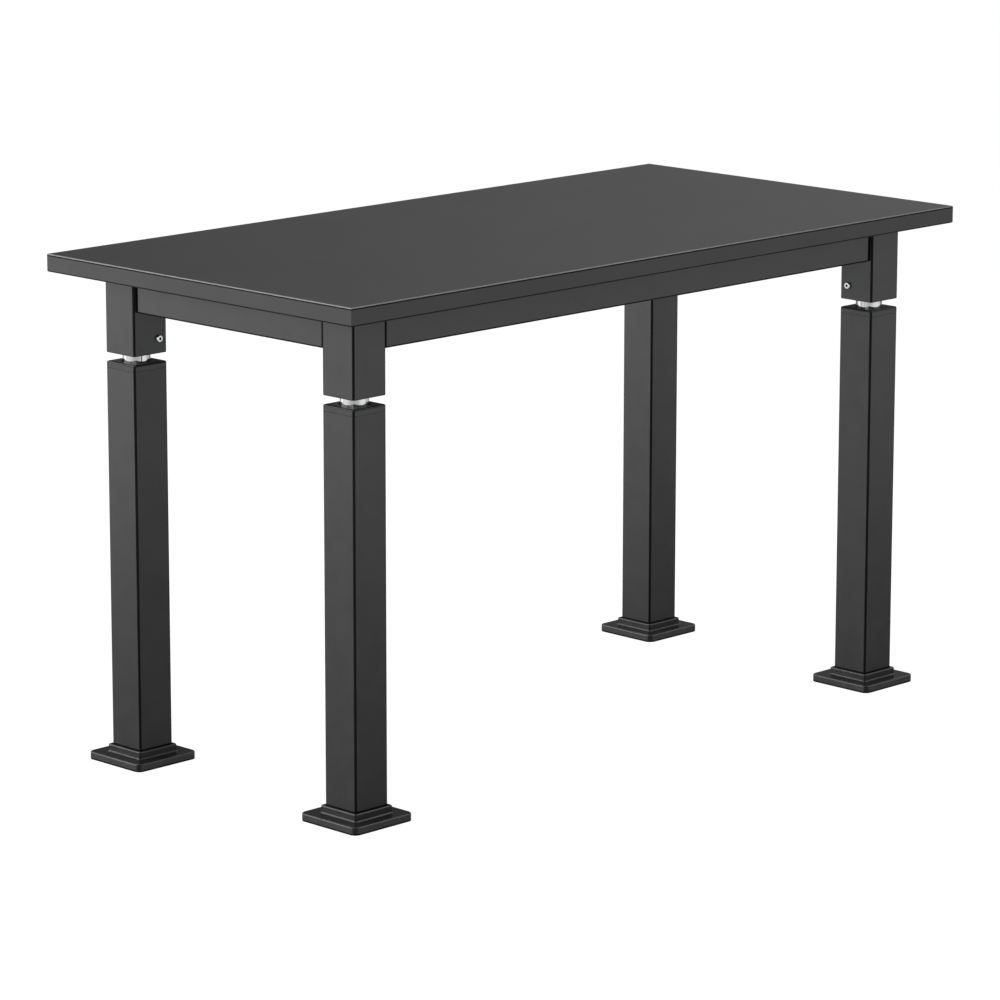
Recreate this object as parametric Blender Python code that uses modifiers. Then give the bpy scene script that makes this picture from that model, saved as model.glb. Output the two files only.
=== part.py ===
"""Height-adjustable laboratory table on four hydraulic lifting legs, fully lowered.

Metres, +Z up. The origin lies on the floor under the middle of the table, X runs along the
long side and Y from front to back. The top, its rails and the four upper sockets are one rigid
frame. A round chromed column hangs from each socket and slides in the square leg that stands
below it, so the legs travel straight down out of the frame when the table is raised.
"""
import math

import bmesh
import bpy
from mathutils import Vector

# General fits
SEAM = 0.0003

# Table top
TABLE_HEIGHT = 0.710
TOP_LENGTH = 1.200
TOP_WIDTH = 0.600
TOP_THICKNESS = 0.025
TOP_EDGE_RADIUS = 0.002
TOP_OVERHANG = 0.055

# Square legs and upper sockets, drawn from the same tube
LEG_WIDTH = 0.059
LEG_CORNER_RADIUS = 0.003
LEG_WALL = 0.0025
LEG_BASE_PLATE = 0.006
SOCKET_LENGTH = 0.1105
SOCKET_PLATE = 0.004

# Rails between the sockets
RAIL_HEIGHT = 0.050
RAIL_THICKNESS = 0.030
RAIL_WALL = 0.002
RAIL_RECESS = 0.004
RAIL_EDGE_RADIUS = 0.002

# Chromed column and the head block that holds it in the socket
COLUMN_DIAMETER = 0.038
COLUMN_WALL = 0.0035
COLUMN_GAP = 0.0117
HEAD_INSET = 0.006
HEAD_ROOF = 0.008
HEAD_CLEARANCE = 0.009
OIL_CHAMBER = 0.020

# Guide cap on the leg and glide under the column
CAP_RIM_HEIGHT = 0.009
CAP_RIM_RADIUS = 0.0015
CAP_SPIGOT = 0.032
GLIDE_LENGTH = 0.0906
GLIDE_FLOOR = 0.012
GLIDE_CORNER_RADIUS = 0.001

# Piston rod
ROD_DIAMETER = 0.016
ROD_FLANGE_DIAMETER = 0.036
ROD_FLANGE_HEIGHT = 0.0144
ROD_THREAD_RUNOUT = 0.002
PISTON_HEIGHT = 0.022
PISTON_HEADROOM = 0.043

# Foot
FOOT_PLATE_WIDTH = 0.108
FOOT_PLATE_CORNER = 0.010
FOOT_PLATE_THICKNESS = 0.011
FOOT_RIM_RADIUS = 0.0012
FOOT_COLLAR_WALL = 0.0045
FOOT_COLLAR_CORNER = 0.004
FOOT_COLLAR_HEIGHT = 0.0105
FOOT_FLOOR = 0.009

# Button-head screws through the inner faces of the sockets
SIDE_SCREW_DIAMETER = 0.006
SIDE_SCREW_LENGTH = 0.008
SIDE_SCREW_HEAD_DIAMETER = 0.0105
SIDE_SCREW_HEAD_HEIGHT = 0.0033
SIDE_SCREW_CROWN_SHARE = 0.55
SIDE_SCREW_BRIM_SHARE = 0.25
SIDE_SCREW_DOME_STEPS = 3
SIDE_SCREW_HEX = 0.004
SIDE_SCREW_HEX_DEPTH = 0.002
SIDE_SCREW_EDGE = 0.015
SIDE_SCREW_RISE = 0.0206

# Screw from below that ties foot, leg and piston rod together
FOOT_SCREW_DIAMETER = 0.008
FOOT_SCREW_HEAD_DIAMETER = 0.013
FOOT_SCREW_HEAD_HEIGHT = 0.004
FOOT_SCREW_HEX = 0.005
FOOT_SCREW_HEX_DEPTH = 0.0025
FOOT_SCREW_GRIP = 0.010
FOOT_SCREW_SINK = 0.0009

# Screw from each socket up into the top
TOP_SCREW_DIAMETER = 0.005
TOP_SCREW_HEAD_DIAMETER = 0.0095
TOP_SCREW_HEAD_HEIGHT = 0.003
TOP_SCREW_GRIP = 0.013

# Hydraulic pump and its oil pipes
PUMP_LENGTH = 0.070
PUMP_WIDTH = 0.110
PUMP_HEIGHT = 0.085
PUMP_CORNER_RADIUS = 0.006
PUMP_INSET = 0.060
DRIVE_DIAMETER = 0.026
DRIVE_LENGTH = 0.018
DRIVE_DROP = 0.015
DRIVE_HEX = 0.010
DRIVE_HEX_DEPTH = 0.012
PIPE_DIAMETER = 0.008
PIPE_GRIP = 0.007
PIPE_BEND = 0.030
PUMP_PORT_SPACING = 0.034

# Facets
ROUND_STEPS = 40
ROD_STEPS = 24
SCREW_STEPS = 16
CORNER_STEPS = 3
RIM_STEPS = 2
PIPE_STEPS = 6

# Levels and places that follow from the sizes
UNDER_TOP = TABLE_HEIGHT - TOP_THICKNESS
FRAME_TOP = UNDER_TOP - SEAM
SOCKET_BOTTOM = FRAME_TOP - SOCKET_LENGTH
CAP_TOP = SOCKET_BOTTOM - COLUMN_GAP
LEG_TOP = CAP_TOP - CAP_RIM_HEIGHT - SEAM
LEG_BOTTOM = FOOT_FLOOR + SEAM
ROD_BOTTOM = LEG_BOTTOM + LEG_BASE_PLATE + SEAM
GLIDE_BOTTOM = ROD_BOTTOM + ROD_FLANGE_HEIGHT + SEAM
COLUMN_BOTTOM = GLIDE_BOTTOM + GLIDE_FLOOR + SEAM
HEAD_BOTTOM = SOCKET_BOTTOM + HEAD_INSET
HEAD_TOP = FRAME_TOP - SOCKET_PLATE - TOP_SCREW_HEAD_HEIGHT - HEAD_CLEARANCE
COLUMN_TOP = HEAD_TOP - HEAD_ROOF - OIL_CHAMBER
PISTON_TOP = COLUMN_TOP - PISTON_HEADROOM
ROD_THREAD_DEPTH = FOOT_SCREW_GRIP + ROD_THREAD_RUNOUT
FOOT_COUNTERBORE = FOOT_SCREW_SINK + FOOT_SCREW_HEAD_HEIGHT + SEAM
BORE_WIDTH = LEG_WIDTH - 2 * LEG_WALL
SLIDER_WIDTH = BORE_WIDTH - 2 * SEAM
COLUMN_BORE = COLUMN_DIAMETER - 2 * COLUMN_WALL
LEG_X = TOP_LENGTH / 2 - TOP_OVERHANG - LEG_WIDTH / 2
LEG_Y = TOP_WIDTH / 2 - TOP_OVERHANG - LEG_WIDTH / 2
SIDE_SCREW_OFFSET = LEG_WIDTH / 2 - SIDE_SCREW_EDGE
SIDE_SCREW_LEVEL = SOCKET_BOTTOM + SIDE_SCREW_RISE
PIPE_LEVEL = COLUMN_TOP + OIL_CHAMBER / 2
PIPE_OFFSET = (RAIL_RECESS + RAIL_THICKNESS) / 2
CORNERS = (
    ("left_front", -1, -1),
    ("left_back", -1, 1),
    ("right_front", 1, -1),
    ("right_back", 1, 1),
)

# Colours, as linear values
DARK_PAINT = (0.070, 0.070, 0.071, 1.0)
DARK_TOP = (0.078, 0.078, 0.079, 1.0)
BLACK_PLASTIC = (0.030, 0.030, 0.031, 1.0)
CHROME = (0.82, 0.83, 0.84, 1.0)
STEEL = (0.55, 0.56, 0.57, 1.0)
ALUMINIUM = (0.60, 0.61, 0.62, 1.0)

for old in list(bpy.data.objects):
    bpy.data.objects.remove(old, do_unlink=True)

parts = bpy.data.collections.new("height_adjustable_table")
bpy.context.scene.collection.children.link(parts)
cutters = bpy.data.collections.new("cutters")
bpy.context.scene.collection.children.link(cutters)


# Helpers

def finish(piece, colour, roughness, metallic):
    """Give a piece its own material."""
    material = bpy.data.materials.new(piece.name + "_finish")
    material.use_nodes = True
    shader = material.node_tree.nodes["Principled BSDF"]
    shader.inputs["Base Color"].default_value = colour
    shader.inputs["Roughness"].default_value = roughness
    shader.inputs["Metallic"].default_value = metallic
    piece.data.materials.append(material)


def place(name, data, collection, parent=None, location=(0, 0, 0), rotation=(0, 0, 0)):
    """Put a mesh or curve into the scene as a named object."""
    thing = bpy.data.objects.new(name, data)
    collection.objects.link(thing)
    thing.location = location
    thing.rotation_euler = rotation
    thing.parent = parent
    return thing


def axis_empty(name, location):
    """An empty that stands on the axis of one leg."""
    thing = bpy.data.objects.new(name, None)
    parts.objects.link(thing)
    thing.location = location
    return thing


def mesh_from(name, shape):
    """Turn a finished bmesh into mesh data."""
    bmesh.ops.recalc_face_normals(shape, faces=shape.faces)
    data = bpy.data.meshes.new(name)
    shape.to_mesh(data)
    shape.free()
    return data


def add_block(shape, size, middle):
    """Add a plain block to a bmesh and return its vertices."""
    made = bmesh.ops.create_cube(shape, size=1.0)["verts"]
    bmesh.ops.scale(shape, vec=size, verts=made)
    bmesh.ops.translate(shape, vec=middle, verts=made)
    return made


def add_rod(shape, radius, steps, start, end):
    """Add a closed cylinder or prism between two points to a bmesh."""
    start = Vector(start)
    run = Vector(end) - start
    made = bmesh.ops.create_cone(
        shape, cap_ends=True, segments=steps, radius1=radius, radius2=radius, depth=run.length
    )["verts"]
    turn = run.to_track_quat("Z", "Y").to_matrix().to_4x4()
    bmesh.ops.transform(shape, matrix=turn, verts=made)
    bmesh.ops.translate(shape, vec=start + run / 2, verts=made)
    return made


def round_uprights(shape, radius):
    """Round the upright edges of a block."""
    edges = []
    for edge in shape.edges:
        along = edge.verts[1].co - edge.verts[0].co
        if abs(along.z) > 0.9 * along.length:
            edges.append(edge)
    bmesh.ops.bevel(
        shape, geom=edges, offset=radius, segments=CORNER_STEPS, profile=0.5, affect="EDGES"
    )


def round_level(shape, level, radius):
    """Round the edges that lie flat at one height."""
    edges = []
    for edge in shape.edges:
        heights = [vertex.co.z for vertex in edge.verts]
        flat = max(abs(height - level) for height in heights) < 1e-6
        if flat and len(edge.link_faces) == 2 and edge.calc_face_angle() > 0.5:
            edges.append(edge)
    bmesh.ops.bevel(
        shape, geom=edges, offset=radius, segments=RIM_STEPS, profile=0.5, affect="EDGES"
    )


def square_block(width, bottom, top, corner_radius):
    """An upright square block with rounded corners, as a bmesh."""
    shape = bmesh.new()
    add_block(shape, (width, width, top - bottom), (0, 0, (bottom + top) / 2))
    if corner_radius > 0:
        round_uprights(shape, corner_radius)
    return shape


def cutter(name, shape, parent=None, location=(0, 0, 0)):
    """A wire-only object that cuts or joins another one."""
    thing = place(name, mesh_from(name, shape), cutters, parent, location)
    thing.hide_render = True
    thing.display_type = "WIRE"
    return thing


def combine(piece, other, operation):
    """Cut a piece with another object, or join that object to it."""
    change = piece.modifiers.new(operation.lower(), "BOOLEAN")
    change.operation = operation
    change.solver = "EXACT"
    change.object = other


def turned(name, profile, steps, closed, parent, location=(0, 0, 0), rotation=(0, 0, 0)):
    """A turned piece from its profile, a list of radius and height from top to bottom."""
    shape = bmesh.new()
    points = [shape.verts.new((radius, 0, height)) for radius, height in profile]
    for first, second in zip(points, points[1:]):
        shape.edges.new((first, second))
    if closed:
        shape.edges.new((points[-1], points[0]))
    data = bpy.data.meshes.new(name)
    shape.to_mesh(data)
    shape.free()
    piece = place(name, data, parts, parent, location, rotation)
    spin = piece.modifiers.new("turn", "SCREW")
    spin.axis = "Z"
    spin.angle = 2 * math.pi
    spin.steps = steps
    spin.render_steps = steps
    spin.use_merge_vertices = True
    spin.merge_threshold = 0.00001
    return piece


def hex_prism(name, across_flats, bottom, top, parent, location=(0, 0, 0), rotation=(0, 0, 0)):
    """A hexagonal cutter along Z."""
    shape = bmesh.new()
    add_rod(shape, across_flats / math.sqrt(3), 6, (0, 0, bottom), (0, 0, top))
    thing = cutter(name, shape, parent, location)
    thing.rotation_euler = rotation
    return thing


def pipe_curve(name, path):
    """An oil pipe along a path of points."""
    curve = bpy.data.curves.new(name, "CURVE")
    curve.dimensions = "3D"
    curve.bevel_depth = PIPE_DIAMETER / 2
    curve.bevel_resolution = 2
    curve.use_fill_caps = True
    spline = curve.splines.new("POLY")
    spline.points.add(len(path) - 1)
    for point, spot in zip(spline.points, path):
        point.co = (*spot, 1.0)
    piece = place(name, curve, parts)
    weld = piece.modifiers.new("weld", "WELD")
    weld.merge_threshold = 0.00001
    return piece


# Table top, with a blind hole over each socket

shape = bmesh.new()
add_block(shape, (TOP_LENGTH, TOP_WIDTH, TOP_THICKNESS), (0, 0, UNDER_TOP + TOP_THICKNESS / 2))
bmesh.ops.bevel(
    shape, geom=list(shape.edges), offset=TOP_EDGE_RADIUS, segments=RIM_STEPS, profile=0.5, affect="EDGES"
)
tabletop = place("tabletop", mesh_from("tabletop", shape), parts)
finish(tabletop, DARK_TOP, 0.45, 0.0)

shape = bmesh.new()
for name, side_x, side_y in CORNERS:
    spot = Vector((side_x * LEG_X, side_y * LEG_Y, UNDER_TOP))
    deep = Vector((0, 0, TOP_SCREW_GRIP + SEAM))
    clear = Vector((0, 0, TOP_THICKNESS))
    add_rod(shape, TOP_SCREW_DIAMETER / 2 + SEAM, SCREW_STEPS, spot - clear, spot + deep)
combine(tabletop, cutter("tabletop_holes", shape), "DIFFERENCE")


# Rails, rectangular tubes between the sockets

def rail(name, length, along_x, middle):
    """One rail with open ends, butted between two sockets."""
    size = Vector((length, RAIL_THICKNESS, RAIL_HEIGHT))
    hollow = Vector((2 * length, RAIL_THICKNESS - 2 * RAIL_WALL, RAIL_HEIGHT - 2 * RAIL_WALL))
    if not along_x:
        size = Vector((size.y, size.x, size.z))
        hollow = Vector((hollow.y, hollow.x, hollow.z))
    shape = bmesh.new()
    add_block(shape, size, (0, 0, 0))
    edges = []
    for edge in shape.edges:
        along = edge.verts[1].co - edge.verts[0].co
        if along.length > 0.9 * length:
            edges.append(edge)
    bmesh.ops.bevel(
        shape, geom=edges, offset=RAIL_EDGE_RADIUS, segments=RIM_STEPS, profile=0.5, affect="EDGES"
    )
    piece = place(name, mesh_from(name, shape), parts, None, middle)
    finish(piece, DARK_PAINT, 0.4, 0.0)
    shape = bmesh.new()
    add_block(shape, hollow, (0, 0, 0))
    combine(piece, cutter(name + "_hollow", shape, None, middle), "DIFFERENCE")
    return piece


rail_shift = LEG_WIDTH / 2 - RAIL_RECESS - RAIL_THICKNESS / 2
rail_level = FRAME_TOP - RAIL_HEIGHT / 2
long_rail = 2 * (LEG_X - LEG_WIDTH / 2 - SEAM)
short_rail = 2 * (LEG_Y - LEG_WIDTH / 2 - SEAM)
rail("front_rail", long_rail, True, (0, -LEG_Y - rail_shift, rail_level))
rail("back_rail", long_rail, True, (0, LEG_Y + rail_shift, rail_level))
rail("left_rail", short_rail, False, (-LEG_X - rail_shift, 0, rail_level))
rail("right_rail", short_rail, False, (LEG_X + rail_shift, 0, rail_level))


# Four lifting legs

for name, side_x, side_y in CORNERS:
    axis = axis_empty(name + "_axis", (side_x * LEG_X, side_y * LEG_Y, 0))
    face = LEG_WIDTH / 2
    head_face = SLIDER_WIDTH / 2

    # Upper socket, a square tube closed by a plate under the top
    shape = square_block(LEG_WIDTH, SOCKET_BOTTOM, FRAME_TOP, LEG_CORNER_RADIUS)
    socket = place(name + "_socket", mesh_from(name + "_socket", shape), parts, axis)
    finish(socket, DARK_PAINT, 0.4, 0.0)
    shape = square_block(BORE_WIDTH, SOCKET_BOTTOM - LEG_WALL, FRAME_TOP - SOCKET_PLATE, 0)
    combine(socket, cutter(name + "_socket_bore", shape, axis), "DIFFERENCE")
    shape = bmesh.new()
    screw_hole = SIDE_SCREW_DIAMETER / 2 + SEAM
    pipe_hole = PIPE_DIAMETER / 2 + SEAM
    outside = face + LEG_WALL
    inside = face - 2 * LEG_WALL
    along_y = -side_y * SIDE_SCREW_OFFSET
    along_x = -side_x * SIDE_SCREW_OFFSET
    level = SIDE_SCREW_LEVEL
    in_x, out_x = -side_x * inside, -side_x * outside
    in_y, out_y = -side_y * inside, -side_y * outside
    add_rod(shape, screw_hole, SCREW_STEPS, (in_x, along_y, level), (out_x, along_y, level))
    add_rod(shape, screw_hole, SCREW_STEPS, (along_x, in_y, level), (along_x, out_y, level))
    across = -side_y * PIPE_OFFSET
    level = PIPE_LEVEL
    add_rod(shape, pipe_hole, SCREW_STEPS, (in_x, across, level), (out_x, across, level))
    under_plate = FRAME_TOP - 2 * SOCKET_PLATE
    over_plate = FRAME_TOP + SOCKET_PLATE
    add_rod(shape, TOP_SCREW_DIAMETER / 2 + SEAM, SCREW_STEPS, (0, 0, under_plate), (0, 0, over_plate))
    combine(socket, cutter(name + "_socket_holes", shape, axis), "DIFFERENCE")

    # Screw through the socket's plate into the top
    screw_top = UNDER_TOP + TOP_SCREW_GRIP
    seat = FRAME_TOP - SOCKET_PLATE - SEAM
    radius = TOP_SCREW_DIAMETER / 2
    profile = [
        (0, screw_top),
        (radius, screw_top - 2 * radius),
        (radius, seat),
        (TOP_SCREW_HEAD_DIAMETER / 2, seat),
        (TOP_SCREW_HEAD_DIAMETER / 2, seat - TOP_SCREW_HEAD_HEIGHT / 2),
        (TOP_SCREW_HEAD_DIAMETER / 3, seat - TOP_SCREW_HEAD_HEIGHT),
        (0, seat - TOP_SCREW_HEAD_HEIGHT),
    ]
    screw = turned(name + "_top_screw", profile, SCREW_STEPS, False, axis)
    finish(screw, STEEL, 0.35, 1.0)

    # Head block in the socket, bored for the column, with an oil chamber above it
    shape = square_block(SLIDER_WIDTH, HEAD_BOTTOM, HEAD_TOP, GLIDE_CORNER_RADIUS)
    head = place(name + "_column_head", mesh_from(name + "_column_head", shape), parts, axis)
    finish(head, ALUMINIUM, 0.4, 1.0)
    shape = bmesh.new()
    bore = COLUMN_DIAMETER / 2 + SEAM
    add_rod(shape, bore, ROUND_STEPS, (0, 0, HEAD_BOTTOM - HEAD_INSET), (0, 0, HEAD_TOP - HEAD_ROOF))
    combine(head, cutter(name + "_head_bore", shape, axis), "DIFFERENCE")
    shape = bmesh.new()
    deep = face - SIDE_SCREW_LENGTH
    level = SIDE_SCREW_LEVEL
    deep_x, face_x = -side_x * deep, -side_x * face
    deep_y, face_y = -side_y * deep, -side_y * face
    add_rod(shape, screw_hole, SCREW_STEPS, (deep_x, along_y, level), (face_x, along_y, level))
    add_rod(shape, screw_hole, SCREW_STEPS, (along_x, deep_y, level), (along_x, face_y, level))
    add_rod(shape, pipe_hole, SCREW_STEPS, (0, across, PIPE_LEVEL), (face_x, across, PIPE_LEVEL))
    combine(head, cutter(name + "_head_ports", shape, axis), "DIFFERENCE")

    # Two button-head screws that hold the head block in the socket
    dome = SIDE_SCREW_HEAD_HEIGHT
    brim = SIDE_SCREW_HEAD_DIAMETER / 2
    crown = SIDE_SCREW_CROWN_SHARE * brim
    edge = SIDE_SCREW_BRIM_SHARE * dome
    profile = [(0, dome), (crown, dome)]
    for step in range(1, SIDE_SCREW_DOME_STEPS + 1):
        turn = math.pi / 2 * step / SIDE_SCREW_DOME_STEPS
        profile.append((crown + (brim - crown) * math.sin(turn), edge + (dome - edge) * math.cos(turn)))
    profile += [
        (brim, 0),
        (SIDE_SCREW_DIAMETER / 2, 0),
        (SIDE_SCREW_DIAMETER / 2, SEAM - SIDE_SCREW_LENGTH),
        (0, SEAM - SIDE_SCREW_LENGTH),
    ]
    quarter = math.pi / 2
    stand = face + SEAM
    for label, spot, turn in (
        ("_end_screw", (-side_x * stand, along_y, SIDE_SCREW_LEVEL), (0, -side_x * quarter, 0)),
        ("_side_screw", (along_x, -side_y * stand, SIDE_SCREW_LEVEL), (side_y * quarter, 0, 0)),
    ):
        screw = turned(name + label, profile, SCREW_STEPS, False, axis, spot, turn)
        finish(screw, STEEL, 0.25, 1.0)
        sunk = dome - SIDE_SCREW_HEX_DEPTH
        hollow = hex_prism(name + label + "_hex", SIDE_SCREW_HEX, sunk, 2 * dome, axis, spot, turn)
        combine(screw, hollow, "DIFFERENCE")

    # Chromed column, which is also the hydraulic cylinder's barrel
    outer = COLUMN_DIAMETER / 2
    inner = COLUMN_BORE / 2
    profile = [(outer, COLUMN_TOP), (outer, COLUMN_BOTTOM), (inner, COLUMN_BOTTOM), (inner, COLUMN_TOP)]
    column = turned(name + "_column", profile, ROUND_STEPS, True, axis)
    finish(column, CHROME, 0.06, 1.0)

    # Glide under the column, which runs in the leg and seals the piston rod
    shape = square_block(SLIDER_WIDTH, GLIDE_BOTTOM, GLIDE_BOTTOM + GLIDE_LENGTH, GLIDE_CORNER_RADIUS)
    glide = place(name + "_glide", mesh_from(name + "_glide", shape), parts, axis)
    finish(glide, BLACK_PLASTIC, 0.35, 0.0)
    profile = [
        (0, GLIDE_BOTTOM + 2 * GLIDE_LENGTH),
        (outer + SEAM, GLIDE_BOTTOM + 2 * GLIDE_LENGTH),
        (outer + SEAM, GLIDE_BOTTOM + GLIDE_FLOOR),
        (ROD_DIAMETER / 2 + SEAM, GLIDE_BOTTOM + GLIDE_FLOOR),
        (ROD_DIAMETER / 2 + SEAM, GLIDE_BOTTOM - GLIDE_FLOOR),
        (0, GLIDE_BOTTOM - GLIDE_FLOOR),
    ]
    pocket = turned(name + "_glide_bore", profile, ROUND_STEPS, False, axis)
    parts.objects.unlink(pocket)
    cutters.objects.link(pocket)
    pocket.hide_render = True
    pocket.display_type = "WIRE"
    combine(glide, pocket, "DIFFERENCE")

    # Piston rod, standing on the leg's base plate
    piston = inner - SEAM
    rod = ROD_DIAMETER / 2
    flange = ROD_FLANGE_DIAMETER / 2
    thread = FOOT_SCREW_DIAMETER / 2 + SEAM
    profile = [
        (0, PISTON_TOP),
        (piston, PISTON_TOP),
        (piston, PISTON_TOP - PISTON_HEIGHT),
        (rod, PISTON_TOP - PISTON_HEIGHT),
        (rod, ROD_BOTTOM + ROD_FLANGE_HEIGHT),
        (flange, ROD_BOTTOM + ROD_FLANGE_HEIGHT),
        (flange, ROD_BOTTOM),
        (thread, ROD_BOTTOM),
        (thread, ROD_BOTTOM + ROD_THREAD_DEPTH),
        (0, ROD_BOTTOM + ROD_THREAD_DEPTH),
    ]
    piston_rod = turned(name + "_piston_rod", profile, ROD_STEPS, False, axis)
    finish(piston_rod, STEEL, 0.2, 1.0)

    # Square leg with its base plate
    shape = square_block(LEG_WIDTH, LEG_BOTTOM, LEG_TOP, LEG_CORNER_RADIUS)
    leg = place(name + "_leg", mesh_from(name + "_leg", shape), parts, axis)
    finish(leg, DARK_PAINT, 0.4, 0.0)
    shape = square_block(BORE_WIDTH, LEG_BOTTOM + LEG_BASE_PLATE, LEG_TOP + LEG_WALL, 0)
    combine(leg, cutter(name + "_leg_bore", shape, axis), "DIFFERENCE")
    shape = bmesh.new()
    add_rod(shape, thread, SCREW_STEPS, (0, 0, 0), (0, 0, ROD_BOTTOM + LEG_BASE_PLATE))
    combine(leg, cutter(name + "_leg_hole", shape, axis), "DIFFERENCE")

    # Guide cap on the leg, bored for the column
    shape = square_block(LEG_WIDTH, LEG_TOP + SEAM, CAP_TOP, LEG_CORNER_RADIUS)
    round_level(shape, CAP_TOP, CAP_RIM_RADIUS)
    cap = place(name + "_guide_cap", mesh_from(name + "_guide_cap", shape), parts, axis)
    finish(cap, BLACK_PLASTIC, 0.25, 0.0)
    spigot_top = CAP_TOP - CAP_RIM_HEIGHT / 2
    shape = square_block(SLIDER_WIDTH, LEG_TOP - CAP_SPIGOT, spigot_top, GLIDE_CORNER_RADIUS)
    combine(cap, cutter(name + "_cap_spigot", shape, axis), "UNION")
    shape = bmesh.new()
    add_rod(shape, bore, ROUND_STEPS, (0, 0, LEG_TOP - 2 * CAP_SPIGOT), (0, 0, CAP_TOP + CAP_RIM_HEIGHT))
    combine(cap, cutter(name + "_cap_bore", shape, axis), "DIFFERENCE")

    # Foot, a square plate with a collar round the leg
    shape = square_block(FOOT_PLATE_WIDTH, 0, FOOT_PLATE_THICKNESS, FOOT_PLATE_CORNER)
    round_level(shape, FOOT_PLATE_THICKNESS, FOOT_RIM_RADIUS)
    foot = place(name + "_foot", mesh_from(name + "_foot", shape), parts, axis)
    finish(foot, BLACK_PLASTIC, 0.3, 0.0)
    collar_width = LEG_WIDTH + 2 * SEAM + 2 * FOOT_COLLAR_WALL
    collar_top = FOOT_PLATE_THICKNESS + FOOT_COLLAR_HEIGHT
    shape = square_block(collar_width, FOOT_PLATE_THICKNESS / 2, collar_top, FOOT_COLLAR_CORNER)
    round_level(shape, collar_top, FOOT_RIM_RADIUS)
    combine(foot, cutter(name + "_foot_collar", shape, axis), "UNION")
    pocket_width = LEG_WIDTH + 2 * SEAM
    shape = square_block(pocket_width, FOOT_FLOOR, collar_top + FOOT_COLLAR_HEIGHT, LEG_CORNER_RADIUS)
    combine(foot, cutter(name + "_foot_pocket", shape, axis), "DIFFERENCE")
    profile = [
        (0, FOOT_FLOOR + FOOT_FLOOR),
        (thread, FOOT_FLOOR + FOOT_FLOOR),
        (thread, FOOT_COUNTERBORE),
        (FOOT_SCREW_HEAD_DIAMETER / 2 + SEAM, FOOT_COUNTERBORE),
        (FOOT_SCREW_HEAD_DIAMETER / 2 + SEAM, -FOOT_COUNTERBORE),
        (0, -FOOT_COUNTERBORE),
    ]
    hole = turned(name + "_foot_hole", profile, SCREW_STEPS, False, axis)
    parts.objects.unlink(hole)
    cutters.objects.link(hole)
    hole.hide_render = True
    hole.display_type = "WIRE"
    combine(foot, hole, "DIFFERENCE")

    # Screw from below through foot and base plate into the rod
    seat = FOOT_COUNTERBORE - SEAM
    shank = FOOT_SCREW_DIAMETER / 2
    under = seat - FOOT_SCREW_HEAD_HEIGHT
    profile = [
        (0, ROD_BOTTOM + FOOT_SCREW_GRIP),
        (shank, ROD_BOTTOM + FOOT_SCREW_GRIP),
        (shank, seat),
        (FOOT_SCREW_HEAD_DIAMETER / 2, seat),
        (FOOT_SCREW_HEAD_DIAMETER / 2, under),
        (0, under),
    ]
    screw = turned(name + "_foot_screw", profile, SCREW_STEPS, False, axis)
    finish(screw, STEEL, 0.35, 1.0)
    hollow = hex_prism(name + "_foot_screw_hex", FOOT_SCREW_HEX, -under, under + FOOT_SCREW_HEX_DEPTH, axis)
    combine(screw, hollow, "DIFFERENCE")


# Hydraulic pump under the top, with a hexagonal drive below the right rail for a plug-on crank

pump_x = LEG_X + LEG_WIDTH / 2 - RAIL_RECESS - RAIL_THICKNESS - PUMP_INSET - PUMP_LENGTH / 2
pump_middle = (pump_x, 0, 0)
pump_bottom = FRAME_TOP - PUMP_HEIGHT
shape = bmesh.new()
add_block(shape, (PUMP_LENGTH, PUMP_WIDTH, PUMP_HEIGHT), (0, 0, FRAME_TOP - PUMP_HEIGHT / 2))
round_uprights(shape, PUMP_CORNER_RADIUS)
round_level(shape, pump_bottom, RAIL_EDGE_RADIUS)
pump = place("pump", mesh_from("pump", shape), parts, None, pump_middle)
finish(pump, BLACK_PLASTIC, 0.4, 0.0)
drive_level = FRAME_TOP - RAIL_HEIGHT - DRIVE_DROP
shape = bmesh.new()
drive_end = PUMP_LENGTH / 2 + DRIVE_LENGTH
add_rod(shape, DRIVE_DIAMETER / 2, ROD_STEPS, (0, 0, drive_level), (drive_end, 0, drive_level))
combine(pump, cutter("pump_drive", shape, None, pump_middle), "UNION")
shape = bmesh.new()
add_rod(
    shape, DRIVE_HEX / math.sqrt(3), 6,
    (drive_end - DRIVE_HEX_DEPTH, 0, drive_level), (drive_end + DRIVE_HEX_DEPTH, 0, drive_level),
)
port = PIPE_DIAMETER / 2 + SEAM
port_depth = PIPE_GRIP + SEAM
flank = PUMP_WIDTH / 2
for side_x in (-1, 1):
    for side_y in (-1, 1):
        port_x = side_x * PUMP_PORT_SPACING / 2
        spot = (port_x, side_y * (flank - port_depth), PIPE_LEVEL)
        add_rod(shape, port, SCREW_STEPS, spot, (port_x, side_y * 2 * flank, PIPE_LEVEL))
combine(pump, cutter("pump_ports", shape, None, pump_middle), "DIFFERENCE")


# Oil pipes from the column heads along the long rails to the sides of the pump

pipe_end = LEG_X - SLIDER_WIDTH / 2 + PIPE_GRIP
pipe_y = LEG_Y - PIPE_OFFSET
for name, side_x, side_y in CORNERS:
    port_x = pump_x + side_x * PUMP_PORT_SPACING / 2
    path = [(side_x * pipe_end, side_y * pipe_y, PIPE_LEVEL)]
    for step in range(PIPE_STEPS + 1):
        turn = math.pi / 2 * step / PIPE_STEPS
        aside = PIPE_BEND * (1 - math.sin(turn))
        inward = PIPE_BEND * (1 - math.cos(turn))
        path.append((port_x + side_x * aside, side_y * (pipe_y - inward), PIPE_LEVEL))
    path.append((port_x, side_y * (flank - PIPE_GRIP), PIPE_LEVEL))
    pipe = pipe_curve(name + "_oil_pipe", path)
    finish(pipe, STEEL, 0.35, 1.0)

for piece in parts.objects:
    if piece.type == "MESH":
        piece.data.shade_smooth()
        piece.data.set_sharp_from_angle(angle=math.radians(35))
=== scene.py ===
import math

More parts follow.
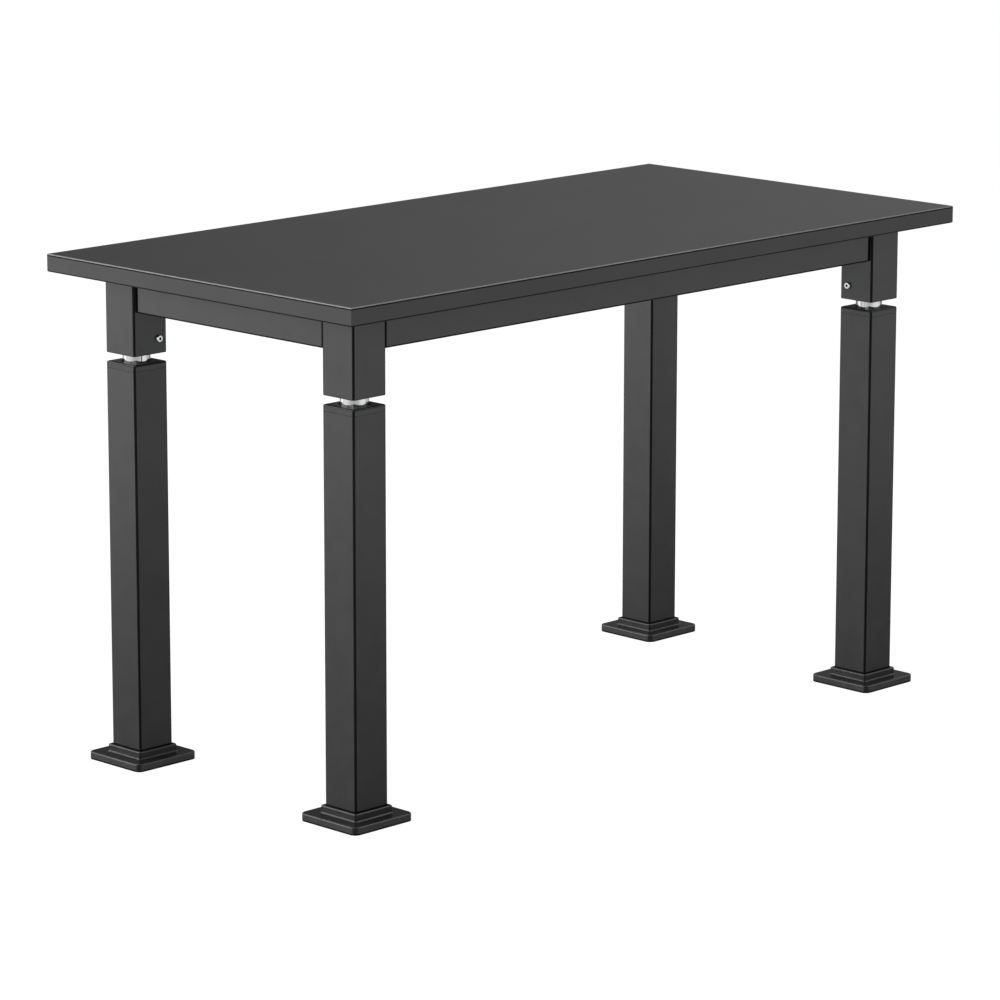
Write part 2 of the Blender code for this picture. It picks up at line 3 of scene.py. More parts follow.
import bmesh
import bpy
from mathutils import Matrix, Vector


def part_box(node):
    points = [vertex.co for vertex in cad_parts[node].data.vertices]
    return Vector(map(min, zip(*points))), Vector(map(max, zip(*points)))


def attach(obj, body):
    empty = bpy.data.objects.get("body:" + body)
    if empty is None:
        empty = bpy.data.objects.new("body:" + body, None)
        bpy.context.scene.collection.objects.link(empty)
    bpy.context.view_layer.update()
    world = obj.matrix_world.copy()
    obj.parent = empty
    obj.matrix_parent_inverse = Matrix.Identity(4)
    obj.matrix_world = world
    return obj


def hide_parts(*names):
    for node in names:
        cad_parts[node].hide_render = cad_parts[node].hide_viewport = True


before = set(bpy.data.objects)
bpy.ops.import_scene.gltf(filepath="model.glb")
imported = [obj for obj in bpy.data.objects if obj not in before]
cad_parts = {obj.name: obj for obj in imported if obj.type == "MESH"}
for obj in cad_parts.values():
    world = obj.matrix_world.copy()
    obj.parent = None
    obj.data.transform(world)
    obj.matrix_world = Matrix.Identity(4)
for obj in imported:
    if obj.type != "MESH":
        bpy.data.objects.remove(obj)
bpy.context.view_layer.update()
scene = bpy.context.scene
scene.view_settings.view_transform = "Standard"

# Studio
# A long lens looks down on the front left corner of the table, so its two near sides show alike.
# The table stands on white paper between three upright soft boxes, with a fourth one overhead. A
# grey wall behind it glows and shows only in its polish, brighter to the left: a painted reflection.
# The paper stays under the feet at every height; in polish it glows too, with painted shade and
# painted light.

VIEW_TURN = math.radians(-45.0)
VIEW_DROP = math.radians(12.0897)
CAMERA_PLACE = (-4.57522, -4.49794, 1.73525)
CAMERA_LENS = 166.594
CAMERA_SENSOR = 36.0
CAMERA_SHIFT = (0.024477, -0.027780)

camera_data = bpy.data.cameras.new("camera")
camera_data.lens = CAMERA_LENS
camera_data.sensor_width = CAMERA_SENSOR
camera_data.shift_x = CAMERA_SHIFT[0]
camera_data.shift_y = CAMERA_SHIFT[1]
camera = bpy.data.objects.new("camera", camera_data)
scene.collection.objects.link(camera)
camera.location = CAMERA_PLACE
camera.rotation_euler = (math.pi / 2 - VIEW_DROP, 0, VIEW_TURN)
scene.camera = camera

FLOOR_HALF = 30.0
FLOOR_WHITE = (0.86, 0.86, 0.86, 1.0)
FLOOR_GLOW = 1.215
FLOOR_SHOWN_WHITE = 0.80
CORNERS = ("left_front", "left_back", "right_front", "right_back")
SHADE_REACH = (-0.2, 2.85)
SHADE_LEAST = 0.22
SHADE_GAIN = 0.69
SIDE_REACH = 2.0
SIDE_WHITE = (0.92, 1.02)
FRONT_REACH = (-3.2, -2.1)
FRONT_WHITE = 0.60
BEHIND_REACH = (0.9, 2.2)
BEHIND_WHITE = 0.25
LANE_STRETCH = 6.0
INNER_REACH = 0.3
INNER_WHITE = 0.48
OUTER_LEFT = (-2.2, -1.0)
OUTER_REAR = (-0.25, 0.2)
OUTER_WHITE = 0.12


def wire(tree, source, target):
    """Join two sockets of a material."""
    tree.links.new(source, target)


def ramp(tree, value, start, end, first, last):
    """Turn a value between start and end into one between first and last."""
    stretch = tree.nodes.new("ShaderNodeMapRange")
    stretch.inputs["From Min"].default_value = start
    stretch.inputs["From Max"].default_value = end
    stretch.inputs["To Min"].default_value = first
    stretch.inputs["To Max"].default_value = last
    wire(tree, value, stretch.inputs["Value"])
    return stretch.outputs["Result"]


def sum_of(tree, operation, first, second, third=None):
    """Work out one sum in a material; each term is a socket or a number."""
    sum_node = tree.nodes.new("ShaderNodeMath")
    sum_node.operation = operation
    for socket, term in zip(sum_node.inputs, (first, second, third)):
        if isinstance(term, float):
            socket.default_value = term
        elif term is not None:
            wire(tree, term, socket)
    return sum_node.outputs["Value"]


def way_along(tree, place, direction):
    """How far a place lies along a direction."""
    dot = tree.nodes.new("ShaderNodeVectorMath")
    dot.operation = "DOT_PRODUCT"
    dot.inputs[1].default_value = direction
    wire(tree, place, dot.inputs[0])
    return dot.outputs["Value"]


def turn_about(shape, verts, angle, axis):
    """Turn some points of a shape about an axis through the origin."""
    bmesh.ops.rotate(shape, verts=verts, cent=(0, 0, 0), matrix=Matrix.Rotation(angle, 3, axis))


shape = bmesh.new()
bmesh.ops.create_grid(shape, x_segments=1, y_segments=1, size=FLOOR_HALF)
floor_mesh = bpy.data.meshes.new("floor")
shape.to_mesh(floor_mesh)
shape.free()
floor = bpy.data.objects.new("floor", floor_mesh)
scene.collection.objects.link(floor)
floor_paper = bpy.data.materials.new("floor_paper")
floor_paper.use_nodes = True
tree = floor_paper.node_tree
tree.nodes.clear()
sheet = tree.nodes.new("ShaderNodeBsdfDiffuse")
sheet.inputs["Color"].default_value = FLOOR_WHITE
glow = tree.nodes.new("ShaderNodeEmission")
path = tree.nodes.new("ShaderNodeLightPath")
place = tree.nodes.new("ShaderNodeTexCoord").outputs["Object"]
diagonal = math.sqrt(0.5)
leftward = way_along(tree, place, (-diagonal, diagonal, 0))
rearward = way_along(tree, place, (diagonal, diagonal, 0))
lane = tree.nodes.new("ShaderNodeCombineXYZ")
wire(tree, leftward, lane.inputs[0])
wire(tree, sum_of(tree, "MULTIPLY", rearward, LANE_STRETCH), lane.inputs[1])
nearest = None
for corner in CORNERS:
    low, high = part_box(corner + "_foot")
    foot_at = (low + high) / 2
    foot_left = (foot_at.y - foot_at.x) * diagonal
    foot_rear = (foot_at.y + foot_at.x) * diagonal
    distance = tree.nodes.new("ShaderNodeVectorMath")
    distance.operation = "DISTANCE"
    distance.inputs[1].default_value = (foot_left, foot_rear * LANE_STRETCH, 0)
    wire(tree, lane.outputs[0], distance.inputs[0])
    if nearest is None:
        nearest = distance.outputs["Value"]
    else:
        nearest = sum_of(tree, "MINIMUM", nearest, distance.outputs["Value"])
# In polish the paper shows painted shade near each foot, far in front and far behind, and painted
# light towards the left, behind and left of the table's middle, and a little at the front right.
near = ramp(tree, nearest, *SHADE_REACH, 0.0, 1.0)
near = sum_of(tree, "MULTIPLY_ADD", sum_of(tree, "MULTIPLY", near, near), SHADE_GAIN, SHADE_LEAST)
side = ramp(tree, leftward, -SIDE_REACH, SIDE_REACH, *SIDE_WHITE)
behind = ramp(tree, rearward, *BEHIND_REACH, 1.0, BEHIND_WHITE)
before = ramp(tree, rearward, *FRONT_REACH, FRONT_WHITE, 1.0)
behind = sum_of(tree, "MULTIPLY", behind, before)
inner_left = ramp(tree, leftward, -INNER_REACH, INNER_REACH, 0.0, 1.0)
inner_rear = ramp(tree, rearward, -INNER_REACH, INNER_REACH, 0.0, INNER_WHITE)
side = sum_of(tree, "MULTIPLY_ADD", inner_left, inner_rear, side)
outer_left = ramp(tree, leftward, *OUTER_LEFT, OUTER_WHITE, 0.0)
outer_rear = ramp(tree, rearward, *OUTER_REAR, 1.0, 0.0)
side = sum_of(tree, "MULTIPLY_ADD", outer_left, outer_rear, side)
painted_reflection = sum_of(tree, "MULTIPLY", sum_of(tree, "MULTIPLY", near, side), behind)
painted_reflection = sum_of(tree, "MULTIPLY", painted_reflection, path.outputs["Is Glossy Ray"])
strength = sum_of(tree, "MULTIPLY_ADD", path.outputs["Is Camera Ray"], FLOOR_GLOW, painted_reflection)
share = sum_of(
    tree, "MULTIPLY_ADD",
    path.outputs["Is Camera Ray"], FLOOR_SHOWN_WHITE, path.outputs["Is Glossy Ray"],
)
blend = tree.nodes.new("ShaderNodeMixShader")
out = tree.nodes.new("ShaderNodeOutputMaterial")
wire(tree, strength, glow.inputs["Strength"])
wire(tree, share, blend.inputs[0])
wire(tree, sheet.outputs[0], blend.inputs[1])
wire(tree, glow.outputs[0], blend.inputs[2])
wire(tree, blend.outputs[0], out.inputs["Surface"])
floor_mesh.materials.append(floor_paper)
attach(floor, "left_front_lower_leg")

# The wall glows only in glossy rays, brighter to the left: a painted reflection, no lamp.
WALL_AT = 6.0
WALL_HALF = 12.0
WALL_REACH = 1.3
WALL_WHITE = (0.345, 0.16)

shape = bmesh.new()
bmesh.ops.create_grid(shape, x_segments=1, y_segments=1, size=WALL_HALF)
turn_about(shape, shape.verts, math.pi / 2, "X")
bmesh.ops.translate(shape, vec=(0, WALL_AT, 0), verts=shape.verts)
turn_about(shape, shape.verts, VIEW_TURN, "Z")
wall_mesh = bpy.data.meshes.new("wall")
shape.to_mesh(wall_mesh)
shape.free()
wall = bpy.data.objects.new("wall", wall_mesh)
scene.collection.objects.link(wall)
wall_paper = bpy.data.materials.new("wall_paper")
wall_paper.use_nodes = True
tree = wall_paper.node_tree
tree.nodes.clear()
glow = tree.nodes.new("ShaderNodeEmission")
path = tree.nodes.new("ShaderNodeLightPath")
place = tree.nodes.new("ShaderNodeTexCoord").outputs["Object"]
leftward = way_along(tree, place, (-diagonal, diagonal, 0))
side = ramp(tree, leftward, -WALL_REACH, WALL_REACH, *WALL_WHITE)
painted_reflection = sum_of(tree, "MULTIPLY", side, path.outputs["Is Glossy Ray"])
out = tree.nodes.new("ShaderNodeOutputMaterial")
wire(tree, painted_reflection, glow.inputs["Strength"])
wire(tree, glow.outputs[0], out.inputs["Surface"])
wall_mesh.materials.append(wall_paper)
wall.visible_camera = False
wall.visible_shadow = False

ROOM_GREY = (0.20, 0.20, 0.20, 1.0)
ROOM_WHITE = (1.0, 1.0, 1.0, 1.0)

world = bpy.data.worlds.new("room")
scene.world = world
world.use_nodes = True
tree = world.node_tree
tree.nodes.clear()
room = tree.nodes.new("ShaderNodeBackground")
room.inputs["Color"].default_value = ROOM_GREY
paper = tree.nodes.new("ShaderNodeBackground")
paper.inputs["Color"].default_value = ROOM_WHITE
path = tree.nodes.new("ShaderNodeLightPath")
blend = tree.nodes.new("ShaderNodeMixShader")
out = tree.nodes.new("ShaderNodeOutputWorld")
wire(tree, path.outputs["Is Camera Ray"], blend.inputs[0])
wire(tree, room.outputs[0], blend.inputs[1])
wire(tree, paper.outputs[0], blend.inputs[2])
wire(tree, blend.outputs[0], out.inputs["Surface"])

LEFT_BOX_PLACE = (-8.2, 5.94, 2.9)
LEFT_BOX_AIM = (-1.14, -1.12, 2.9)
LEFT_BOX_BRIGHTNESS = 3.4
FRONT_BOX_PLACE = (-10.6, -4.4, 3.0)
FRONT_BOX_AIM = (0.0, 0.0, 0.4)
FRONT_BOX_WIDTH = 7.2
FRONT_BOX_BRIGHTNESS = 2.9
RIGHT_BOX_PLACE = (5.94, -8.2, 2.9)
RIGHT_BOX_AIM = (-1.12, -1.14, 2.9)
RIGHT_BOX_BRIGHTNESS = 0.75
SIDE_BOX_WIDTH = 14.0
UPRIGHT_BOX_HEIGHT = 5.6
TOP_BOX_PLACE = (0.46, 0.46, 2.45)
TOP_BOX_AIM = (0.46, 0.46, 0.0)
TOP_BOX_WIDTH = 5.2
TOP_BOX_DEPTH = 1.0
TOP_BOX_BRIGHTNESS = 2.3


def soft_box(name, middle, aim, width, height, brightness):
    """A flat lamp that faces a point; brightness is that of its face."""
    lamp = bpy.data.lights.new(name, "AREA")
    lamp.shape = "RECTANGLE"
    lamp.size = width
    lamp.size_y = height
    lamp.energy = brightness * math.pi * width * height
    holder = bpy.data.objects.new(name, lamp)
    scene.collection.objects.link(holder)
    holder.location = middle
    holder.rotation_euler = (Vector(aim) - Vector(middle)).to_track_quat("-Z", "Y").to_euler()
    holder.visible_camera = False
    return holder


soft_box(
    "left_soft_box", LEFT_BOX_PLACE, LEFT_BOX_AIM,
    SIDE_BOX_WIDTH, UPRIGHT_BOX_HEIGHT, LEFT_BOX_BRIGHTNESS,
)
soft_box(
    "front_soft_box", FRONT_BOX_PLACE, FRONT_BOX_AIM,
    FRONT_BOX_WIDTH, UPRIGHT_BOX_HEIGHT, FRONT_BOX_BRIGHTNESS,
)
soft_box(
    "right_soft_box", RIGHT_BOX_PLACE, RIGHT_BOX_AIM,
    SIDE_BOX_WIDTH, UPRIGHT_BOX_HEIGHT, RIGHT_BOX_BRIGHTNESS,
)
strip = soft_box(
    "top_soft_box", TOP_BOX_PLACE, TOP_BOX_AIM,
    TOP_BOX_WIDTH, TOP_BOX_DEPTH, TOP_BOX_BRIGHTNESS,
)
strip.rotation_euler = (0, 0, VIEW_TURN)

# Feet
# Each foot is one black plastic moulding: a square plate with round corners, and a collar that
# the leg stands in. A screw from below holds it, in a round pocket in its underside.

CORNER_STEPS = 11
RING_POINTS = 4 * (CORNER_STEPS + 1)
RING_LIFT = 0.02
SHARP_ANGLE = 35.0
SHARP_TURN = 0.3
LEVEL_SLACK = 1e-6
EVEN_WEIGHT = 80
FOOT_CORNER = 0.010
FOOT_PLATE = 0.011
FOOT_RIM = 0.0017
FOOT_RIM_STEPS = 4
FOOT_SOLE_EDGE = 0.0007
FOOT_SOLE_STEPS = 2
FOOT_SOLE_SHADE_LINE = 0.0024
FOOT_SOLE_LAND = 0.090
FOOT_FILLET = 0.0018
COLLAR_WIDTH = 0.0686
COLLAR_CORNER = 0.004
COLLAR_RIM = 0.0017
POCKET_WIDTH = 0.0596
POCKET_CORNER = 0.0033
POCKET_FLOOR = 0.009
SCREW_POCKET_RADIUS = 0.0068
SCREW_POCKET_ROOF = 0.0052
SCREW_HOLE_RADIUS = 0.0043
FOOT_BLACK = (0.046, 0.046, 0.0465, 1.0)
FOOT_BLACK_WORN = (0.053, 0.053, 0.0535, 1.0)
FOOT_ROUGHNESS = (0.20, 0.28)
# A darker copy for up-facing faces and the round corners: painted shade.
TREAD_SHADE_BLACK = (0.021, 0.021, 0.0212, 1.0)
TREAD_SHADE_BLACK_WORN = (0.027, 0.027, 0.0272, 1.0)
TREAD_SHADE_ROUGHNESS = (0.22, 0.30)
TREAD_SHADE_SHINE = 0.06
# A darker copy for the collar sides: painted shade.
COLLAR_SHADE_BLACK = (0.0165, 0.0165, 0.0167, 1.0)
COLLAR_SHADE_BLACK_WORN = (0.0215, 0.0215, 0.0217, 1.0)
COLLAR_ROUGHNESS = (0.30, 0.38)
# A pale grey for the rounded rims: a painted highlight.
FOOT_RIM_HIGHLIGHT_GREY = (0.088, 0.088, 0.089, 1.0)
FOOT_RIM_HIGHLIGHT_GREY_LIGHT = (0.106, 0.106, 0.107, 1.0)
FOOT_RIM_HIGHLIGHT_ROUGHNESS = (0.20, 0.28)
CORNER_SHADE_LEAN = 0.35
RIM_LEAN = 0.20
FLAT_LEAN = 0.99
# Near-black with little shine: painted shade, laid on arrises, gaps, recesses and contact lines for
# their dark reflection and shade.
PAINTED_SHADE_BLACK = (0.003, 0.003, 0.003, 1.0)
PAINTED_SHADE_BLACK_LIGHT = (0.005, 0.005, 0.005, 1.0)
EDGE_ROUGHNESS = (0.40, 0.50)
EDGE_SHINE = 0.10
PAINTED_SHADE_FINISH = 1
TREAD_SHADE_FINISH = 2
FOOT_RIM_HIGHLIGHT_FINISH = 3
COLLAR_SHADE_FINISH = 4
GRAIN_RANGE = (0.3, 0.7)
MOTTLE_GRAIN = (60.0, 3.0)
SPARKLE_GRAIN = (1400.0, 2.0)
SPARKLE_RELIEF = (0.00002, 0.03)
COAT_GRAIN = (35.0, 4.0)
PEEL_GRAIN = (900.0, 3.0)
PEEL_RELIEF = (0.00006, 0.05)


def square_ring(shape, width, depth, corner, level):
    """A level ring of edges, square or oblong, with round corners."""
    made = bmesh.ops.create_circle(shape, cap_ends=True, segments=4, radius=math.sqrt(0.5))
    verts = made["verts"]
    turn_about(shape, verts, math.pi / 4, "Z")
    bmesh.ops.scale(shape, vec=(width, depth, 1), verts=verts)
    bmesh.ops.translate(shape, vec=(0, 0, level), verts=verts)
    made = bmesh.ops.bevel(
        shape, geom=verts, offset=corner, segments=CORNER_STEPS, profile=0.5,
        affect="VERTICES", material=-1,
    )
    verts = made["verts"]
    face = max(verts[0].link_faces, key=lambda found: len(found.verts))
    edges = list(face.edges)
    bmesh.ops.delete(shape, geom=[face], context="FACES_ONLY")
    return edges


def round_ring(shape, radius, level, points):
    """A level ring of edges, round."""
    made = bmesh.ops.create_circle(shape, cap_ends=False, segments=points, radius=radius)
    verts = made["verts"]
    turn_about(shape, verts, math.pi / points, "Z")
    bmesh.ops.translate(shape, vec=(0, 0, level), verts=verts)
    return list(dict.fromkeys(edge for vert in verts for edge in vert.link_edges))


def join_rings(shape, rings, closed):
    """Skin a row of rings, each to the next one, and the last to the first where it is closed."""
    pairs = list(zip(rings, rings[1:]))
    if closed:
        pairs.append((rings[-1], rings[0]))
    for first, second in pairs:
        ends = list(dict.fromkeys(vert for edge in second for vert in edge.verts))
        bmesh.ops.translate(shape, vec=(0, 0, RING_LIFT), verts=ends)
        bmesh.ops.bridge_loops(shape, edges=first + second)
        bmesh.ops.translate(shape, vec=(0, 0, -RING_LIFT), verts=ends)


def level_edges(shape, level, reach):
    """The edges of a sharp ring at one height, no nearer to the upright axis than reach."""
    found = []
    for edge in shape.edges:
        heights = [abs(vert.co.z - level) for vert in edge.verts]
        far = min(max(abs(vert.co.x), abs(vert.co.y)) for vert in edge.verts)
        if max(heights) < LEVEL_SLACK and far > reach and edge.calc_face_angle(0) > SHARP_TURN:
            found.append(edge)
    return found


def round_edges(shape, edges, radius, steps):
    """Round some edges of a shape, outer ones or inner ones."""
    bmesh.ops.bevel(
        shape, geom=edges, offset=radius, segments=steps, profile=0.5,
        affect="EDGES", material=-1,
    )


def make_piece(shape, name, middle, *finishes):
    """Put a finished shape in its place as a smooth piece."""
    bmesh.ops.translate(shape, vec=middle, verts=shape.verts)
    bmesh.ops.recalc_face_normals(shape, faces=shape.faces)
    mesh = bpy.data.meshes.new(name)
    shape.to_mesh(mesh)
    shape.free()
    for face in mesh.polygons:
        face.use_smooth = True
    mesh.set_sharp_from_angle(angle=math.radians(SHARP_ANGLE))
    piece = bpy.data.objects.new(name, mesh)
    scene.collection.objects.link(piece)
    even = piece.modifiers.new("even_faces", "WEIGHTED_NORMAL")
    even.keep_sharp = True
    even.weight = EVEN_WEIGHT
    for finish in finishes:
        mesh.materials.append(finish)
    return piece


def finish_material(name):
    """A new material with its shader and Object coordinates."""
    material = bpy.data.materials.new(name)
    material.use_nodes = True
    tree = material.node_tree
    shader = tree.nodes["Principled BSDF"]
    place = tree.nodes.new("ShaderNodeTexCoord")
    return material, tree, shader, place.outputs["Object"]


def grain(tree, place, scale, detail):
    """Fine noise that stays with the piece; nearly all of it lies in the grain's range."""
    noise = tree.nodes.new("ShaderNodeTexNoise")
    noise.inputs["Scale"].default_value = scale
    noise.inputs["Detail"].default_value = detail
    wire(tree, place, noise.inputs["Vector"])
    return noise.outputs["Fac"]


def spread(tree, value, low, high):
    """Stretch a grain's value over another range."""
    return ramp(tree, value, *GRAIN_RANGE, low, high)


def two_tone(tree, value, first, second):
    """A colour between two, led by a grain's value."""
    tone = tree.nodes.new("ShaderNodeValToRGB")
    for mark, position, colour in zip(tone.color_ramp.elements, GRAIN_RANGE, (first, second)):
        mark.position = position
        mark.color = colour
    wire(tree, value, tone.inputs["Fac"])
    return tone.outputs["Color"]


def relief(tree, shader, value, depth, strength):
    """Let a grain raise the surface a little."""
    bump = tree.nodes.new("ShaderNodeBump")
    bump.inputs["Strength"].default_value = strength
    bump.inputs["Distance"].default_value = depth
    wire(tree, value, bump.inputs["Height"])
    wire(tree, bump.outputs["Normal"], shader.inputs["Normal"])


def moulding(name, dark, light, roughness):
    """Black moulded plastic, lightly mottled, with a fine sparkle."""
    material, tree, shader, place = finish_material(name)
    mottle = grain(tree, place, *MOTTLE_GRAIN)
    sparkle = grain(tree, place, *SPARKLE_GRAIN)
    wire(tree, two_tone(tree, mottle, dark, light), shader.inputs["Base Color"])
    wire(tree, spread(tree, mottle, *roughness), shader.inputs["Roughness"])
    relief(tree, shader, sparkle, *SPARKLE_RELIEF)
    return material, shader


def coat(name, dark, light, roughness):
    """Satin black powder coat."""
    material, tree, shader, place = finish_material(name)
    mottle = grain(tree, place, *COAT_GRAIN)
    peel = grain(tree, place, *PEEL_GRAIN)
    wire(tree, two_tone(tree, mottle, dark, light), shader.inputs["Base Color"])
    wire(tree, spread(tree, peel, *roughness), shader.inputs["Roughness"])
    relief(tree, shader, peel, *PEEL_RELIEF)
    return material, shader


foot_moulding, shader = moulding("foot_moulding", FOOT_BLACK, FOOT_BLACK_WORN, FOOT_ROUGHNESS)
foot_tread_shade, shader = moulding("foot_tread_shade", TREAD_SHADE_BLACK, TREAD_SHADE_BLACK_WORN, TREAD_SHADE_ROUGHNESS)
shader.inputs["Specular IOR Level"].default_value = TREAD_SHADE_SHINE
foot_collar_shade, shader = moulding("foot_collar_shade", COLLAR_SHADE_BLACK, COLLAR_SHADE_BLACK_WORN, COLLAR_ROUGHNESS)
foot_rim_highlight, shader = moulding("foot_rim_highlight", FOOT_RIM_HIGHLIGHT_GREY, FOOT_RIM_HIGHLIGHT_GREY_LIGHT, FOOT_RIM_HIGHLIGHT_ROUGHNESS)
# The near-black painted shade for rounded edges, gaps and contact lines.
painted_shade_coat, shader = coat("painted_shade_coat", PAINTED_SHADE_BLACK, PAINTED_SHADE_BLACK_LIGHT, EDGE_ROUGHNESS)
shader.inputs["Specular IOR Level"].default_value = EDGE_SHINE

for corner in CORNERS:
    low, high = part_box(corner + "_foot")
    middle = (low + high) / 2
    width = high.x - low.x
    shape = bmesh.new()
    rings = [
        square_ring(shape, FOOT_SOLE_LAND, FOOT_SOLE_LAND, COLLAR_CORNER, low.z),
        square_ring(shape, width, width, FOOT_CORNER, low.z),
        square_ring(shape, width, width, FOOT_CORNER, FOOT_SOLE_SHADE_LINE),
        square_ring(shape, width, width, FOOT_CORNER, FOOT_PLATE),
        square_ring(shape, COLLAR_WIDTH, COLLAR_WIDTH, COLLAR_CORNER, FOOT_PLATE),
        square_ring(shape, COLLAR_WIDTH, COLLAR_WIDTH, COLLAR_CORNER, high.z),
        square_ring(shape, POCKET_WIDTH, POCKET_WIDTH, POCKET_CORNER, high.z),
        square_ring(shape, POCKET_WIDTH, POCKET_WIDTH, POCKET_CORNER, POCKET_FLOOR),
        round_ring(shape, SCREW_HOLE_RADIUS, POCKET_FLOOR, RING_POINTS),
        round_ring(shape, SCREW_HOLE_RADIUS, SCREW_POCKET_ROOF, RING_POINTS),
        round_ring(shape, SCREW_POCKET_RADIUS, SCREW_POCKET_ROOF, RING_POINTS),
        round_ring(shape, SCREW_POCKET_RADIUS, low.z, RING_POINTS),
    ]
    join_rings(shape, rings, True)
    bmesh.ops.recalc_face_normals(shape, faces=shape.faces)
    plate_reach = width / 2 - FOOT_CORNER
    collar_reach = COLLAR_WIDTH / 2 - COLLAR_CORNER
    sole_edges = level_edges(shape, low.z, plate_reach)
    round_edges(shape, sole_edges, FOOT_SOLE_EDGE, FOOT_SOLE_STEPS)
    plate_edges = level_edges(shape, FOOT_PLATE, plate_reach)
    fillet_edges = level_edges(shape, FOOT_PLATE, collar_reach)
    fillet_edges = [edge for edge in fillet_edges if edge not in plate_edges]
    round_edges(shape, plate_edges, FOOT_RIM, FOOT_RIM_STEPS)
    fillet_edges = [edge for edge in fillet_edges if edge.is_valid]
    round_edges(shape, fillet_edges, FOOT_FILLET, FOOT_RIM_STEPS)
    top_edges = level_edges(shape, high.z, collar_reach)
    round_edges(shape, top_edges, COLLAR_RIM, FOOT_RIM_STEPS)
    shape.normal_update()
    # Faces get lit and shaded copies of the moulding's black. The sole's lowest band and the collar
    # top around the leg take the near-black painted shade, for the contact line and the gap.
    for face in shape.faces:
        lean = face.normal
        height = face.calc_center_median().z
        on_collar_top = lean.z > FLAT_LEAN and height > FOOT_PLATE + FOOT_RIM
        on_corner = min(abs(lean.x), abs(lean.y)) > CORNER_SHADE_LEAN
        if height < FOOT_SOLE_SHADE_LINE or on_collar_top:
            face.material_index = PAINTED_SHADE_FINISH
        elif lean.z > FLAT_LEAN or on_corner:
            face.material_index = TREAD_SHADE_FINISH
        elif lean.z > RIM_LEAN:
            face.material_index = FOOT_RIM_HIGHLIGHT_FINISH
        elif height > FOOT_PLATE:
            face.material_index = COLLAR_SHADE_FINISH
    foot = make_piece(
        shape, corner + "_foot_moulding", (middle.x, middle.y, 0),
        foot_moulding, painted_shade_coat, foot_tread_shade, foot_rim_highlight, foot_collar_shade,
    )
    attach(foot, corner + "_lower_leg")
    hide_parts(corner + "_foot")

# Legs
# Square steel tubes with a base plate welded in at the bottom, powder coated in satin black.
# The rounded arrises and a narrow band just above the foot are near-black: painted shade for the
# dark reflection on the arrises and for the shade where the leg enters the foot.

ARRIS_RADIUS = 0.003
TUBE_WALL = 0.0025
TUBE_INNER_CORNER = 0.0006
BASE_PLATE = 0.006
COAT_BLACK = (0.031, 0.031, 0.0314, 1.0)
COAT_BLACK_LIGHT = (0.038, 0.038, 0.0384, 1.0)
COAT_ROUGHNESS = (0.28, 0.32)
ARRIS_SHARE = 0.20
THIRD_SHARE = 0.1
ENTRY_SHADE_LINE = 0.0018


def mark_edges(shape, share):
    """Give rounded edges, whose faces lean both ways by more than a share, the second finish, the
    near-black painted shade.
    """
    shape.normal_update()
    for face in shape.faces:
        leans = sorted(abs(part) for part in face.normal)
        if leans[0] < THIRD_SHARE and leans[1] > share:
            face.material_index = PAINTED_SHADE_FINISH


leg_coat, shader = coat("leg_coat", COAT_BLACK, COAT_BLACK_LIGHT, COAT_ROUGHNESS)

for corner in CORNERS:
    low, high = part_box(corner + "_leg")
    middle = (low + high) / 2
    width = high.x - low.x
    bore = width - 2 * TUBE_WALL
    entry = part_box(corner + "_foot")[1].z + ENTRY_SHADE_LINE
    shape = bmesh.new()
    rings = [
        square_ring(shape, width, width, ARRIS_RADIUS, low.z),
        square_ring(shape, width, width, ARRIS_RADIUS, entry),
        square_ring(shape, width, width, ARRIS_RADIUS, high.z),
        square_ring(shape, bore, bore, TUBE_INNER_CORNER, high.z),
        square_ring(shape, bore, bore, TUBE_INNER_CORNER, low.z + BASE_PLATE),
        round_ring(shape, SCREW_HOLE_RADIUS, low.z + BASE_PLATE, RING_POINTS),
        round_ring(shape, SCREW_HOLE_RADIUS, low.z, RING_POINTS),
    ]
    join_rings(shape, rings, True)
    bmesh.ops.recalc_face_normals(shape, faces=shape.faces)
    # Arrises and the band just above the foot take the near-black painted shade.
    mark_edges(shape, ARRIS_SHARE)
    for face in shape.faces:
        if face.calc_center_median().z < entry:
            face.material_index = PAINTED_SHADE_FINISH
    leg = make_piece(shape, corner + "_leg_tube", (middle.x, middle.y, 0), leg_coat, painted_shade_coat)
    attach(leg, corner + "_lower_leg")
    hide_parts(corner + "_leg")

# Guide caps
# Glossy black nylon caps, pressed into the tops of the legs. The column slides in their bore,
# through a black rubber wiper. The ledge round the bore is a far paler grey than the nylon,
# painted light for light it misses under the socket. The arrises, the flat band outside the ledge
# and the lower brink of the top rounding are near-black painted shade; the wiper takes the same
# near-black, partly its own black and partly painted shade where the column enters.

CAP_RIM = 0.0024
CAP_RIM_STEPS = 5
CAP_BRINK_LEAN = (0.05, 0.30)
CAP_CREST_LEAN = 0.96
CAP_LAND = 0.050
CAP_LAND_CORNER = 0.0006
CAP_BORE_RADIUS = 0.0193
WIPER_WIDTH = 0.0022
CAP_SEAT = 0.5535
SPIGOT_WIDTH = 0.0534
SPIGOT_CORNER = 0.001
NYLON_BLACK = (0.028, 0.028, 0.0285, 1.0)
NYLON_BLACK_LIGHT = (0.035, 0.035, 0.0355, 1.0)
NYLON_ROUGHNESS = (0.22, 0.28)
# A grey far paler than the nylon: painted light on the ledge under the socket.
LEDGE_LIT_GREY = (0.120, 0.120, 0.1205, 1.0)
LEDGE_LIT_GREY_LIGHT = (0.140, 0.140, 0.1405, 1.0)
LEDGE_ROUGHNESS = (0.42, 0.48)
LEDGE_SHINE = 0.02
CAP_FINISH = 0
LEDGE_LIT_FINISH = 2

